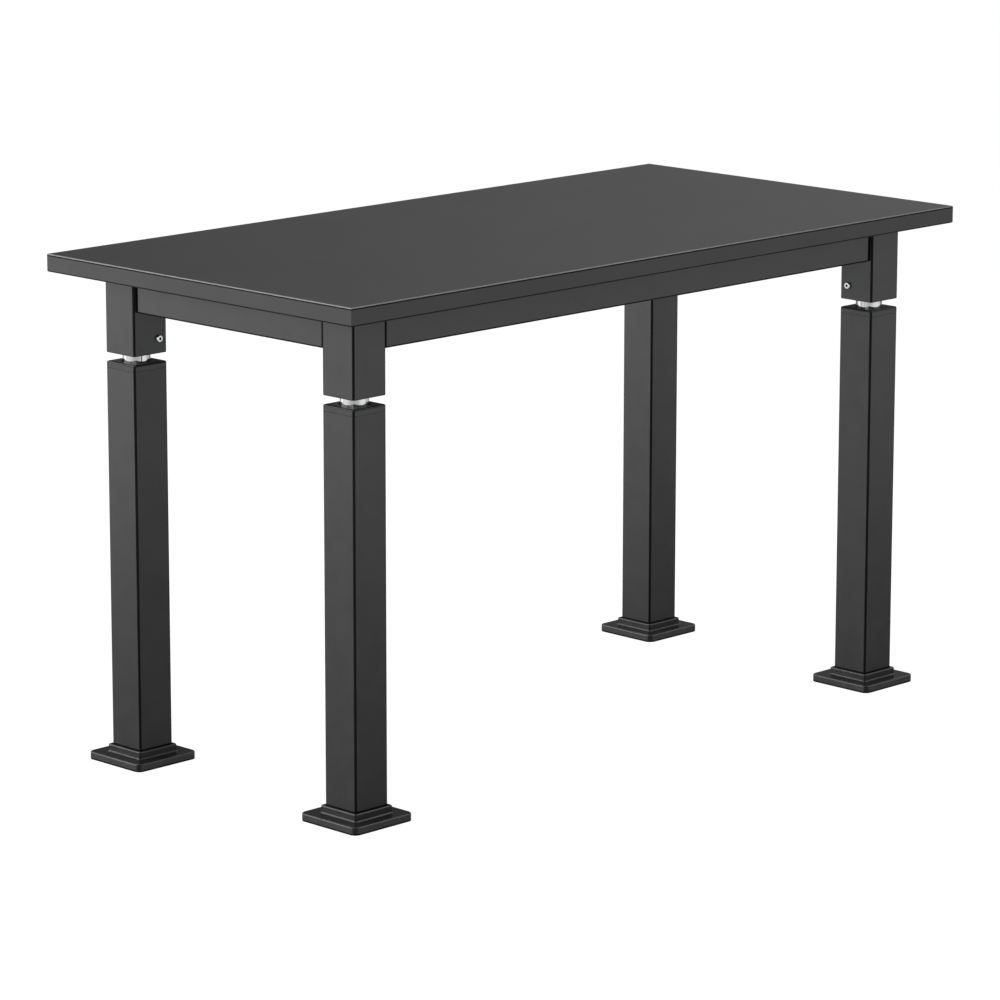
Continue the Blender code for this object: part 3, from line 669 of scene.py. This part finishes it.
cap_nylon, shader = moulding("cap_nylon", NYLON_BLACK, NYLON_BLACK_LIGHT, NYLON_ROUGHNESS)
cap_ledge_painted_light, shader = moulding("cap_ledge_painted_light", LEDGE_LIT_GREY, LEDGE_LIT_GREY_LIGHT, LEDGE_ROUGHNESS)
shader.inputs["Specular IOR Level"].default_value = LEDGE_SHINE

for corner in CORNERS:
    low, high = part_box(corner + "_guide_cap")
    middle = (low + high) / 2
    width = high.x - low.x
    shape = bmesh.new()
    rings = [
        square_ring(shape, width, width, ARRIS_RADIUS, CAP_SEAT),
        square_ring(shape, width, width, ARRIS_RADIUS, high.z),
        square_ring(shape, CAP_LAND, CAP_LAND, CAP_LAND_CORNER, high.z),
        round_ring(shape, CAP_BORE_RADIUS + WIPER_WIDTH, high.z, RING_POINTS),
        round_ring(shape, CAP_BORE_RADIUS, high.z, RING_POINTS),
        round_ring(shape, CAP_BORE_RADIUS, low.z, RING_POINTS),
        square_ring(shape, SPIGOT_WIDTH, SPIGOT_WIDTH, SPIGOT_CORNER, low.z),
        square_ring(shape, SPIGOT_WIDTH, SPIGOT_WIDTH, SPIGOT_CORNER, CAP_SEAT),
    ]
    join_rings(shape, rings, True)
    bmesh.ops.recalc_face_normals(shape, faces=shape.faces)
    rim_edges = level_edges(shape, high.z, CAP_BORE_RADIUS + ARRIS_RADIUS)
    round_edges(shape, rim_edges, CAP_RIM, CAP_RIM_STEPS)
    mark_edges(shape, ARRIS_SHARE)
    # The ledge takes the pale painted light; the band outside it, the wiper and the brink take the
    # near-black painted shade; the rest of the rounding keeps the nylon.
    for face in shape.faces:
        spot = face.calc_center_median()
        if face.normal.z > CAP_CREST_LEAN:
            on_land = max(abs(spot.x), abs(spot.y)) < CAP_LAND / 2
            on_wiper = spot.xy.length < CAP_BORE_RADIUS + WIPER_WIDTH
            if on_land and not on_wiper:
                face.material_index = LEDGE_LIT_FINISH
            else:
                face.material_index = PAINTED_SHADE_FINISH
        elif face.normal.z > CAP_BRINK_LEAN[1]:
            face.material_index = CAP_FINISH
        elif face.normal.z > CAP_BRINK_LEAN[0]:
            face.material_index = PAINTED_SHADE_FINISH
    cap = make_piece(
        shape, corner + "_cap", (middle.x, middle.y, 0),
        cap_nylon, painted_shade_coat, cap_ledge_painted_light,
    )
    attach(cap, corner + "_lower_leg")
    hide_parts(corner + "_guide_cap")

# Piston rods and foot screws
# A ground steel rod stands on each base plate and pushes in the column above. A zinc plated screw
# from below ties it to the leg and the foot.

ROD_BRIGHT = (0.62, 0.62, 0.63, 1.0)
ROD_DULL = (0.50, 0.50, 0.51, 1.0)
ROD_ROUGHNESS = (0.10, 0.18)
HAZE_GRAIN = (45.0, 3.0)
MARKS_STRETCH = (1.0, 1.0, 30.0)
MARKS_GRAIN = (120.0, 2.0)
ZINC_LIGHT = (0.775, 0.825, 0.84, 1.0)
ZINC_DARK = (0.63, 0.68, 0.70, 1.0)
ZINC_ROUGHNESS = (0.18, 0.26)
ZINC_GRAIN = (700.0, 3.0)
METAL_RELIEF = (0.00004, 0.08)


def turned_metal(name, dull, bright, roughness):
    """Bright metal with fine marks that run round it."""
    material, tree, shader, place = finish_material(name)
    shader.inputs["Metallic"].default_value = 1.0
    haze = grain(tree, place, *HAZE_GRAIN)
    turn = tree.nodes.new("ShaderNodeMapping")
    turn.inputs["Scale"].default_value = MARKS_STRETCH
    wire(tree, place, turn.inputs["Vector"])
    marks = grain(tree, turn.outputs["Vector"], *MARKS_GRAIN)
    wire(tree, two_tone(tree, haze, dull, bright), shader.inputs["Base Color"])
    wire(tree, spread(tree, marks, *roughness), shader.inputs["Roughness"])
    return material


def mottled_metal(name, dark, light, roughness, bloom_grain):
    """Plated or cast metal with a fine bloom."""
    material, tree, shader, place = finish_material(name)
    shader.inputs["Metallic"].default_value = 1.0
    bloom = grain(tree, place, *bloom_grain)
    wire(tree, two_tone(tree, bloom, dark, light), shader.inputs["Base Color"])
    wire(tree, spread(tree, bloom, *roughness), shader.inputs["Roughness"])
    relief(tree, shader, bloom, *METAL_RELIEF)
    return material


rod_steel = turned_metal("rod_steel", ROD_DULL, ROD_BRIGHT, ROD_ROUGHNESS)
screw_zinc = mottled_metal("screw_zinc", ZINC_DARK, ZINC_LIGHT, ZINC_ROUGHNESS, ZINC_GRAIN)

for corner in CORNERS:
    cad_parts[corner + "_piston_rod"].data.materials[0] = rod_steel
    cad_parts[corner + "_foot_screw"].data.materials[0] = screw_zinc

# Glides
# Turned rings of natural nylon, pressed on the lower ends of the columns. They run in the bores of
# the legs and keep the columns upright.

GLIDE_CREAM = (0.60, 0.57, 0.48, 1.0)
GLIDE_CREAM_DULL = (0.52, 0.49, 0.41, 1.0)
GLIDE_ROUGHNESS = (0.34, 0.46)
GLIDE_GRAIN = (140.0, 4.0)
GLIDE_RELIEF = (0.00005, 0.10)

glide_nylon, tree, shader, place = finish_material("glide_nylon")
wear = grain(tree, place, *GLIDE_GRAIN)
wire(tree, two_tone(tree, wear, GLIDE_CREAM_DULL, GLIDE_CREAM), shader.inputs["Base Color"])
wire(tree, spread(tree, wear, *GLIDE_ROUGHNESS), shader.inputs["Roughness"])
relief(tree, shader, wear, *GLIDE_RELIEF)

for corner in CORNERS:
    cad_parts[corner + "_glide"].data.materials[0] = glide_nylon

# Columns
# Hard chromed round steel tubes, ground and polished. They hang from the column heads and are also
# the cylinders of the lift.

COLUMN_POINTS = 96
COLUMN_WALL = 0.0035
COLUMN_END_EDGE = 0.0008
COLUMN_END_STEPS = 2
CHROME_BRIGHT = (0.77, 0.775, 0.78, 1.0)
CHROME_DULL = (0.67, 0.675, 0.68, 1.0)
CHROME_ROUGHNESS = (0.03, 0.07)

column_chrome = turned_metal("column_chrome", CHROME_DULL, CHROME_BRIGHT, CHROME_ROUGHNESS)

for corner in CORNERS:
    low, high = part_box(corner + "_column")
    middle = (low + high) / 2
    radius = (high.x - low.x) / 2
    shape = bmesh.new()
    rings = [
        round_ring(shape, radius, low.z, COLUMN_POINTS),
        round_ring(shape, radius, high.z, COLUMN_POINTS),
        round_ring(shape, radius - COLUMN_WALL, high.z, COLUMN_POINTS),
        round_ring(shape, radius - COLUMN_WALL, low.z, COLUMN_POINTS),
    ]
    join_rings(shape, rings, True)
    bmesh.ops.recalc_face_normals(shape, faces=shape.faces)
    ends = level_edges(shape, low.z, 0) + level_edges(shape, high.z, 0)
    round_edges(shape, ends, COLUMN_END_EDGE, COLUMN_END_STEPS)
    column = make_piece(
        shape, corner + "_chromed_column", (middle.x, middle.y, 0), column_chrome)
    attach(column, "table_frame")
    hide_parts(corner + "_column")

# Column heads
# Cast aluminium blocks, held in the sockets by the socket screws. The column is pressed in from
# below, under the oil chamber.

CAST_LIGHT = (0.62, 0.62, 0.63, 1.0)
CAST_DARK = (0.50, 0.50, 0.51, 1.0)
CAST_ROUGHNESS = (0.36, 0.50)
CAST_GRAIN = (500.0, 3.0)

head_aluminium = mottled_metal("head_aluminium", CAST_DARK, CAST_LIGHT, CAST_ROUGHNESS, CAST_GRAIN)

for corner in CORNERS:
    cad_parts[corner + "_column_head"].data.materials[0] = head_aluminium

# Sockets
# Short lengths of the leg tube with a plate welded in at the top, where the table top is screwed on.
# They are powder coated together with the rails.

SOCKET_PLATE = 0.004
TOP_SCREW_HOLE_RADIUS = 0.0028
SOCKET_END_EDGE = 0.0012
SOCKET_END_STEPS = 2

for corner in CORNERS:
    low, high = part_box(corner + "_socket")
    middle = (low + high) / 2
    width = high.x - low.x
    bore = width - 2 * TUBE_WALL
    shape = bmesh.new()
    rings = [
        square_ring(shape, width, width, ARRIS_RADIUS, low.z),
        square_ring(shape, width, width, ARRIS_RADIUS, high.z),
        round_ring(shape, TOP_SCREW_HOLE_RADIUS, high.z, RING_POINTS),
        round_ring(shape, TOP_SCREW_HOLE_RADIUS, high.z - SOCKET_PLATE, RING_POINTS),
        square_ring(shape, bore, bore, TUBE_INNER_CORNER, high.z - SOCKET_PLATE),
        square_ring(shape, bore, bore, TUBE_INNER_CORNER, low.z),
    ]
    join_rings(shape, rings, True)
    bmesh.ops.recalc_face_normals(shape, faces=shape.faces)
    end_edges = level_edges(shape, low.z, bore / 2 + TUBE_WALL / 2)
    round_edges(shape, end_edges, SOCKET_END_EDGE, SOCKET_END_STEPS)
    # Arrises take the near-black painted shade, as on the legs.
    mark_edges(shape, ARRIS_SHARE)
    socket = make_piece(
        shape, corner + "_socket_tube", (middle.x, middle.y, 0), leg_coat, painted_shade_coat)
    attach(socket, "table_frame")
    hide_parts(corner + "_socket")

# Rails
# Oblong steel tubes, welded between the sockets and set back a little from their outer faces. The
# weld at each end is ground flat. A near-black band without shine over it is painted shade for the
# dark inside corner at the socket, and the arrises take the near-black painted shade too.

RAIL_EDGE = 0.003
RAIL_EDGE_SHARE = 0.12
RAIL_WALL = 0.002
RAIL_INNER_CORNER = 0.0004
RAIL_WELD = 0.0045
RAIL_WAYS = (("front_rail", "X"), ("back_rail", "X"), ("left_rail", "Y"), ("right_rail", "Y"))
WELD_ROUGHNESS = (0.60, 0.70)
WELD_SHINE = 0.0
WELD_SHADE_FINISH = 2

weld_painted_shade, shader = coat("weld_painted_shade", PAINTED_SHADE_BLACK, PAINTED_SHADE_BLACK_LIGHT, WELD_ROUGHNESS)
shader.inputs["Specular IOR Level"].default_value = WELD_SHINE

for rail_name, lengthwise in RAIL_WAYS:
    low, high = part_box(rail_name)
    middle = (low + high) / 2
    size = high - low
    if lengthwise == "X":
        length, thick = size.x, size.y
    else:
        length, thick = size.y, size.x
    tall = size.z
    bore_thick = thick - 2 * RAIL_WALL
    bore_tall = tall - 2 * RAIL_WALL
    shape = bmesh.new()
    rings = [
        square_ring(shape, thick, tall, RAIL_EDGE, -length / 2),
        square_ring(shape, thick, tall, RAIL_EDGE, RAIL_WELD - length / 2),
        square_ring(shape, thick, tall, RAIL_EDGE, length / 2 - RAIL_WELD),
        square_ring(shape, thick, tall, RAIL_EDGE, length / 2),
        square_ring(shape, bore_thick, bore_tall, RAIL_INNER_CORNER, length / 2),
        square_ring(shape, bore_thick, bore_tall, RAIL_INNER_CORNER, -length / 2),
    ]
    join_rings(shape, rings, True)
    # Each end band is near-black without shine: painted shade for the dark corner at the socket.
    for face in shape.faces:
        if abs(face.calc_center_median().z) > length / 2 - RAIL_WELD:
            face.material_index = WELD_SHADE_FINISH
    turn_about(shape, shape.verts, math.pi / 2, "X")
    if lengthwise == "X":
        turn_about(shape, shape.verts, math.pi / 2, "Z")
    bmesh.ops.recalc_face_normals(shape, faces=shape.faces)
    # Arrises, the bottom ones among them, take the near-black painted shade.
    mark_edges(shape, RAIL_EDGE_SHARE)
    rail = make_piece(shape, rail_name + "_tube", middle, leg_coat, painted_shade_coat, weld_painted_shade)
    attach(rail, "table_frame")
    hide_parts(rail_name)

# Socket screws
# Zinc plated button-head screws with a hexagon. They go through the inner faces of each socket into
# the column head.

SCREW_POINTS = 48
SCREW_HEAD_RADIUS = 0.00525
SCREW_HEAD_HEIGHT = 0.0033
SCREW_BRIM = 0.0005
SCREW_CROWN_RADIUS = 0.0041
SCREW_DOME_STEPS = 8
SCREW_HEX = 0.004
SCREW_HEX_DEPTH = 0.002
SCREW_SHANK_RADIUS = 0.003
SCREW_LENGTH = 0.008
HEXAGON_SIDES = 6


def hexagon_ring(shape, across, level, points):
    """A level six-sided ring of edges with a given number of points."""
    made = bmesh.ops.create_circle(
        shape, cap_ends=False, segments=HEXAGON_SIDES, radius=across / math.sqrt(3))
    verts = made["verts"]
    bmesh.ops.translate(shape, vec=(0, 0, level), verts=verts)
    edges = list(dict.fromkeys(edge for vert in verts for edge in vert.link_edges))
    made = bmesh.ops.subdivide_edges(shape, edges=edges, cuts=points // HEXAGON_SIDES - 1)
    return [item for item in made["geom"] if isinstance(item, bmesh.types.BMEdge)]


def close_ends(shape, rings):
    """Close a skinned row of rings at its first and its last one."""
    for end in (rings[0], rings[-1]):
        bmesh.ops.edgeloop_fill(shape, edges=end)


def button_screw(name, outward, face_at):
    """A button-head screw whose head ends at a place and faces outward."""
    shape = bmesh.new()
    rings = [
        round_ring(shape, SCREW_SHANK_RADIUS, -SCREW_LENGTH, SCREW_POINTS),
        round_ring(shape, SCREW_SHANK_RADIUS, 0, SCREW_POINTS),
        round_ring(shape, SCREW_HEAD_RADIUS, 0, SCREW_POINTS),
    ]
    for step in range(SCREW_DOME_STEPS + 1):
        lift = math.pi / 2 * step / SCREW_DOME_STEPS
        reach = SCREW_CROWN_RADIUS + (SCREW_HEAD_RADIUS - SCREW_CROWN_RADIUS) * math.cos(lift)
        rise = SCREW_BRIM + (SCREW_HEAD_HEIGHT - SCREW_BRIM) * math.sin(lift)
        rings.append(round_ring(shape, reach, rise, SCREW_POINTS))
    for level in (SCREW_HEAD_HEIGHT, SCREW_HEAD_HEIGHT - SCREW_HEX_DEPTH):
        rings.append(hexagon_ring(shape, SCREW_HEX, level, SCREW_POINTS))
    join_rings(shape, rings, False)
    close_ends(shape, rings)
    # The thin ring where the head meets the face and the bottom of the hexagon socket take the
    # near-black painted shade, for the shadow ring and the dark socket.
    for face in shape.faces:
        spot = face.calc_center_median()
        if spot.z > 0 and (spot.z < SCREW_BRIM or spot.xy.length < SCREW_HEX / 2):
            face.material_index = PAINTED_SHADE_FINISH
    turn = outward.to_track_quat("Z", "Y").to_matrix()
    bmesh.ops.rotate(shape, verts=shape.verts, cent=(0, 0, 0), matrix=turn)
    return make_piece(shape, name, face_at - outward * SCREW_HEAD_HEIGHT, screw_zinc, painted_shade_coat)


for corner in CORNERS:
    socket_low, socket_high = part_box(corner + "_socket")
    centre = (socket_low + socket_high) / 2
    for node, along in ((corner + "_end_screw", "X"), (corner + "_side_screw", "Y")):
        low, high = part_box(node)
        spot = (low + high) / 2
        if along == "X":
            outward = Vector((-math.copysign(1, centre.x), 0, 0))
            face_at = Vector((low.x if outward.x < 0 else high.x, spot.y, spot.z))
        else:
            outward = Vector((0, -math.copysign(1, centre.y), 0))
            face_at = Vector((spot.x, low.y if outward.y < 0 else high.y, spot.z))
        screw = button_screw(node + "_button", outward, face_at)
        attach(screw, "table_frame")
        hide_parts(node)

# Pump
# A black moulded housing under the top, in two halves, with a socket for a plug-on crank.
# Four long screws hold it from below, and a union nut grips each oil pipe at its sides.

PUMP_LENGTH = 0.070
PUMP_CORNER = 0.006
PUMP_EDGE = 0.002
PUMP_EDGE_STEPS = 4
PUMP_JOINT = 0.6385
PUMP_JOINT_WIDTH = 0.0012
PUMP_JOINT_DEPTH = 0.0008
PUMP_RIBS = 3
PUMP_RIB_PITCH = 0.0055
PUMP_RIB_DEPTH = 0.0012
PUMP_RIB_START = 0.6605
PUMP_SCREW_INSET = 0.012
PUMP_RECESS = 0.0005
DRIVE_LEVEL = 0.6197
DRIVE_RADIUS = 0.013
DRIVE_EDGE = 0.0015
DRIVE_EDGE_STEPS = 3
DRIVE_HEX = 0.010
DRIVE_HEX_DEPTH = 0.012
DRIVE_ROOT = 0.004
PUMP_BLACK = (0.028, 0.028, 0.0285, 1.0)
PUMP_BLACK_LIGHT = (0.040, 0.040, 0.0405, 1.0)
PUMP_ROUGHNESS = (0.36, 0.48)
PUMP_GRAIN = (70.0, 3.0)
LEATHER_GRAIN = (800.0, 2.0)
LEATHER_RELIEF = (0.00008, 0.20)

pump_moulding, tree, shader, place = finish_material("pump_moulding")
mottle = grain(tree, place, *PUMP_GRAIN)
leather = grain(tree, place, *LEATHER_GRAIN)
wire(tree, two_tone(tree, mottle, PUMP_BLACK, PUMP_BLACK_LIGHT), shader.inputs["Base Color"])
wire(tree, spread(tree, leather, *PUMP_ROUGHNESS), shader.inputs["Roughness"])
relief(tree, shader, leather, *LEATHER_RELIEF)

low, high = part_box("pump")
pump_middle = Vector((low.x + PUMP_LENGTH / 2, (low.y + high.y) / 2, 0))
pump_width = high.y - low.y
shape = bmesh.new()
levels = [(0.0, low.z)]
grooves = [(PUMP_JOINT, PUMP_JOINT_WIDTH, PUMP_JOINT_DEPTH)]
for rib in range(PUMP_RIBS):
    grooves.append((PUMP_RIB_START + rib * PUMP_RIB_PITCH, PUMP_RIB_PITCH / 2, PUMP_RIB_DEPTH))
for level, tall, deep in grooves:
    levels += [(0.0, level), (deep, level), (deep, level + tall), (0.0, level + tall)]
levels.append((0.0, high.z))
rings = []
for inset, level in levels:
    ring = square_ring(
        shape, PUMP_LENGTH - 2 * inset, pump_width - 2 * inset, PUMP_CORNER - inset, level)
    rings.append(ring)
join_rings(shape, rings, False)
close_ends(shape, rings)
bmesh.ops.recalc_face_normals(shape, faces=shape.faces)
round_edges(shape, level_edges(shape, low.z, 0), PUMP_EDGE, PUMP_EDGE_STEPS)
pump = make_piece(shape, "pump_housing", pump_middle, pump_moulding)
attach(pump, "table_frame")
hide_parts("pump")

drive_length = high.x - low.x - PUMP_LENGTH + DRIVE_ROOT
shape = bmesh.new()
rings = [
    round_ring(shape, DRIVE_RADIUS, 0, SCREW_POINTS),
    round_ring(shape, DRIVE_RADIUS, drive_length, SCREW_POINTS),
    hexagon_ring(shape, DRIVE_HEX, drive_length, SCREW_POINTS),
    hexagon_ring(shape, DRIVE_HEX, drive_length - DRIVE_HEX_DEPTH, SCREW_POINTS),
]
join_rings(shape, rings, False)
close_ends(shape, rings)
bmesh.ops.recalc_face_normals(shape, faces=shape.faces)
drive_edges = level_edges(shape, drive_length, DRIVE_RADIUS / 2)
round_edges(shape, drive_edges, DRIVE_EDGE, DRIVE_EDGE_STEPS)
turn_about(shape, shape.verts, math.pi / 2, "Y")
drive_at = Vector((high.x - drive_length, pump_middle.y, DRIVE_LEVEL))
drive = make_piece(shape, "pump_drive_socket", drive_at, rod_steel)
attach(drive, "table_frame")

for side_x in (-1, 1):
    for side_y in (-1, 1):
        spot = Vector((
            pump_middle.x + side_x * (PUMP_LENGTH / 2 - PUMP_SCREW_INSET),
            pump_middle.y + side_y * (pump_width / 2 - PUMP_SCREW_INSET),
            low.z - SCREW_HEAD_HEIGHT + PUMP_RECESS,
        ))
        names = ("left" if side_x < 0 else "right", "front" if side_y < 0 else "back")
        screw = button_screw("pump_%s_%s_screw" % names, Vector((0, 0, -1)), spot)
        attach(screw, "table_frame")

# Oil pipes
# Bent steel tubes, zinc plated. They run from the column heads along the long rails to the pump,
# where a union nut holds each one.

PIPE_RADIUS = 0.004
PIPE_POINTS = 24
PIPE_BEND = 0.030
PIPE_BEND_STEPS = 12
NUT_ACROSS = 0.014
NUT_LENGTH = 0.009
NUT_NECK = 0.0015
NUT_NECK_RADIUS = 0.0058

for corner in CORNERS:
    side_x = -1 if corner.startswith("left") else 1
    side_y = -1 if corner.endswith("front") else 1
    low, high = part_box(corner + "_oil_pipe")
    start_x = low.x if side_x < 0 else high.x
    port_x = (high.x if side_x < 0 else low.x) + side_x * PIPE_RADIUS
    start_y = (low.y if side_y < 0 else high.y) - side_y * PIPE_RADIUS
    end_y = high.y if side_y < 0 else low.y
    level = (low.z + high.z) / 2
    shape = bmesh.new()
    made = bmesh.ops.create_circle(
        shape, cap_ends=True, segments=PIPE_POINTS, radius=PIPE_RADIUS)
    turn_about(shape, made["verts"], math.pi / 2, "Y")
    bmesh.ops.translate(shape, vec=(start_x, start_y, level), verts=made["verts"])
    ring = list(shape.edges)
    made = bmesh.ops.extrude_edge_only(shape, edges=ring)["geom"]
    ring = [item for item in made if isinstance(item, bmesh.types.BMEdge)]
    ring = [edge for edge in ring if edge.is_boundary]
    points = list(dict.fromkeys(vert for edge in ring for vert in edge.verts))
    bend_x = port_x + side_x * PIPE_BEND
    bmesh.ops.translate(shape, vec=(bend_x - start_x, 0, 0), verts=points)
    centre = (bend_x, start_y - side_y * PIPE_BEND, level)
    made = bmesh.ops.spin(
        shape, geom=points + ring, cent=centre, axis=(0, 0, 1),
        angle=side_x * side_y * math.pi / 2, steps=PIPE_BEND_STEPS, use_duplicate=False,
    )["geom_last"]
    ring = [item for item in made if isinstance(item, bmesh.types.BMEdge)]
    made = bmesh.ops.extrude_edge_only(shape, edges=ring)["geom"]
    points = [item for item in made if isinstance(item, bmesh.types.BMVert)]
    bmesh.ops.translate(shape, vec=(0, end_y - (start_y - side_y * PIPE_BEND), 0), verts=points)
    rim = [edge for edge in shape.edges if edge.is_boundary]
    bmesh.ops.edgeloop_fill(shape, edges=rim)
    pipe = make_piece(shape, corner + "_bent_pipe", (0, 0, 0), screw_zinc)
    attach(pipe, "table_frame")
    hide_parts(corner + "_oil_pipe")

    shape = bmesh.new()
    rings = [
        hexagon_ring(shape, NUT_ACROSS, 0, SCREW_POINTS),
        hexagon_ring(shape, NUT_ACROSS, NUT_LENGTH - NUT_NECK, SCREW_POINTS),
        round_ring(shape, NUT_NECK_RADIUS, NUT_LENGTH, SCREW_POINTS),
        round_ring(shape, PIPE_RADIUS, NUT_LENGTH, SCREW_POINTS),
        round_ring(shape, PIPE_RADIUS, 0, SCREW_POINTS),
    ]
    join_rings(shape, rings, True)
    turn = Vector((0, side_y, 0)).to_track_quat("Z", "Y").to_matrix()
    bmesh.ops.rotate(shape, verts=shape.verts, cent=(0, 0, 0), matrix=turn)
    nut_at = Vector((port_x, pump_middle.y + side_y * pump_width / 2, level))
    nut = make_piece(shape, corner + "_union_nut", nut_at, screw_zinc)
    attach(nut, "table_frame")

# Top screws
# One zinc plated screw in each socket's plate holds the table top from below. Nothing of it shows
# once the column head is in.

for corner in CORNERS:
    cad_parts[corner + "_top_screw"].data.materials[0] = screw_zinc

# Table top
# A board faced on both sides with fine grained black laminate. Its edges are banded and rounded.
# The upper rounding is a paler grey, a painted highlight; the band under it is near-black, partly
# the joint of laminate and edge band and partly painted shade; the lower rounding is near-black
# painted shade.

TOP_CORNER = 0.0003
TOP_RIM = 0.0014
UNDER_RIM = 0.002
RIM_STEPS = 6
JOINT_AND_SHADE_LINE = 0.0019
TOP_LAND = 0.006
# A paler grey for the upper rounding: a painted highlight.
TOP_RIM_HIGHLIGHT_GREY = (0.21, 0.21, 0.212, 1.0)
TOP_RIM_HIGHLIGHT_GREY_LIGHT = (0.24, 0.24, 0.241, 1.0)
RIM_ROUGHNESS = (0.16, 0.22)
RIM_GRAIN = (40.0, 4.0)
TOP_RIM_HIGHLIGHT_FINISH = 2
LAMINATE_BLACK = (0.018, 0.018, 0.0182, 1.0)
LAMINATE_BLACK_LIGHT = (0.0235, 0.0235, 0.0237, 1.0)
LAMINATE_ROUGHNESS = (0.30, 0.38)
CLOUD_GRAIN = (12.0, 4.0)
PEBBLE_GRAIN = (700.0, 3.0)
PEBBLE_RELIEF = (0.00006, 0.10)
LYING_LEAN = 0.98
STANDING_LEAN = 0.1

top_laminate, tree, shader, place = finish_material("top_laminate")
cloud = grain(tree, place, *CLOUD_GRAIN)
pebble = grain(tree, place, *PEBBLE_GRAIN)
wire(tree, two_tone(tree, cloud, LAMINATE_BLACK, LAMINATE_BLACK_LIGHT), shader.inputs["Base Color"])
wire(tree, spread(tree, pebble, *LAMINATE_ROUGHNESS), shader.inputs["Roughness"])
relief(tree, shader, pebble, *PEBBLE_RELIEF)

rim_highlight_laminate, tree, shader, place = finish_material("rim_highlight_laminate")
cloud = grain(tree, place, *RIM_GRAIN)
wire(tree, two_tone(tree, cloud, TOP_RIM_HIGHLIGHT_GREY, TOP_RIM_HIGHLIGHT_GREY_LIGHT), shader.inputs["Base Color"])
wire(tree, spread(tree, cloud, *RIM_ROUGHNESS), shader.inputs["Roughness"])

low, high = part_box("tabletop")
middle = (low + high) / 2
size = high - low
shape = bmesh.new()
band_top = high.z - TOP_RIM
levels = [(TOP_LAND, low.z)]
for step in range(RIM_STEPS + 1):
    turn = math.pi / 2 * step / RIM_STEPS
    levels.append((UNDER_RIM * (1 - math.sin(turn)), low.z + UNDER_RIM * (1 - math.cos(turn))))
levels.append((0.0, band_top - JOINT_AND_SHADE_LINE))
for step in range(RIM_STEPS + 1):
    turn = math.pi / 2 * step / RIM_STEPS
    levels.append((TOP_RIM * (1 - math.cos(turn)), band_top + TOP_RIM * math.sin(turn)))
levels.append((TOP_LAND, high.z))
rings = []
for inset, level in levels:
    rings.append(square_ring(shape, size.x - 2 * inset, size.y - 2 * inset, TOP_CORNER, level))
join_rings(shape, rings, False)
close_ends(shape, rings)
bmesh.ops.recalc_face_normals(shape, faces=shape.faces)
shape.normal_update()
# The lower rounding takes the near-black painted shade; the band under the upper rounding takes it
# too, partly a joint and partly painted shade; the upper rounding takes the painted highlight.
for face in shape.faces:
    level = face.calc_center_median().z
    if -LYING_LEAN < face.normal.z < -STANDING_LEAN and level < low.z + UNDER_RIM:
        face.material_index = PAINTED_SHADE_FINISH
    if band_top - JOINT_AND_SHADE_LINE < level < band_top:
        face.material_index = PAINTED_SHADE_FINISH
    if band_top < level and face.normal.z < LYING_LEAN:
        face.material_index = TOP_RIM_HIGHLIGHT_FINISH
top = make_piece(
    shape, "laminated_top", (middle.x, middle.y, 0),
    top_laminate, painted_shade_coat, rim_highlight_laminate,
)
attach(top, "table_frame")
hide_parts("tabletop")
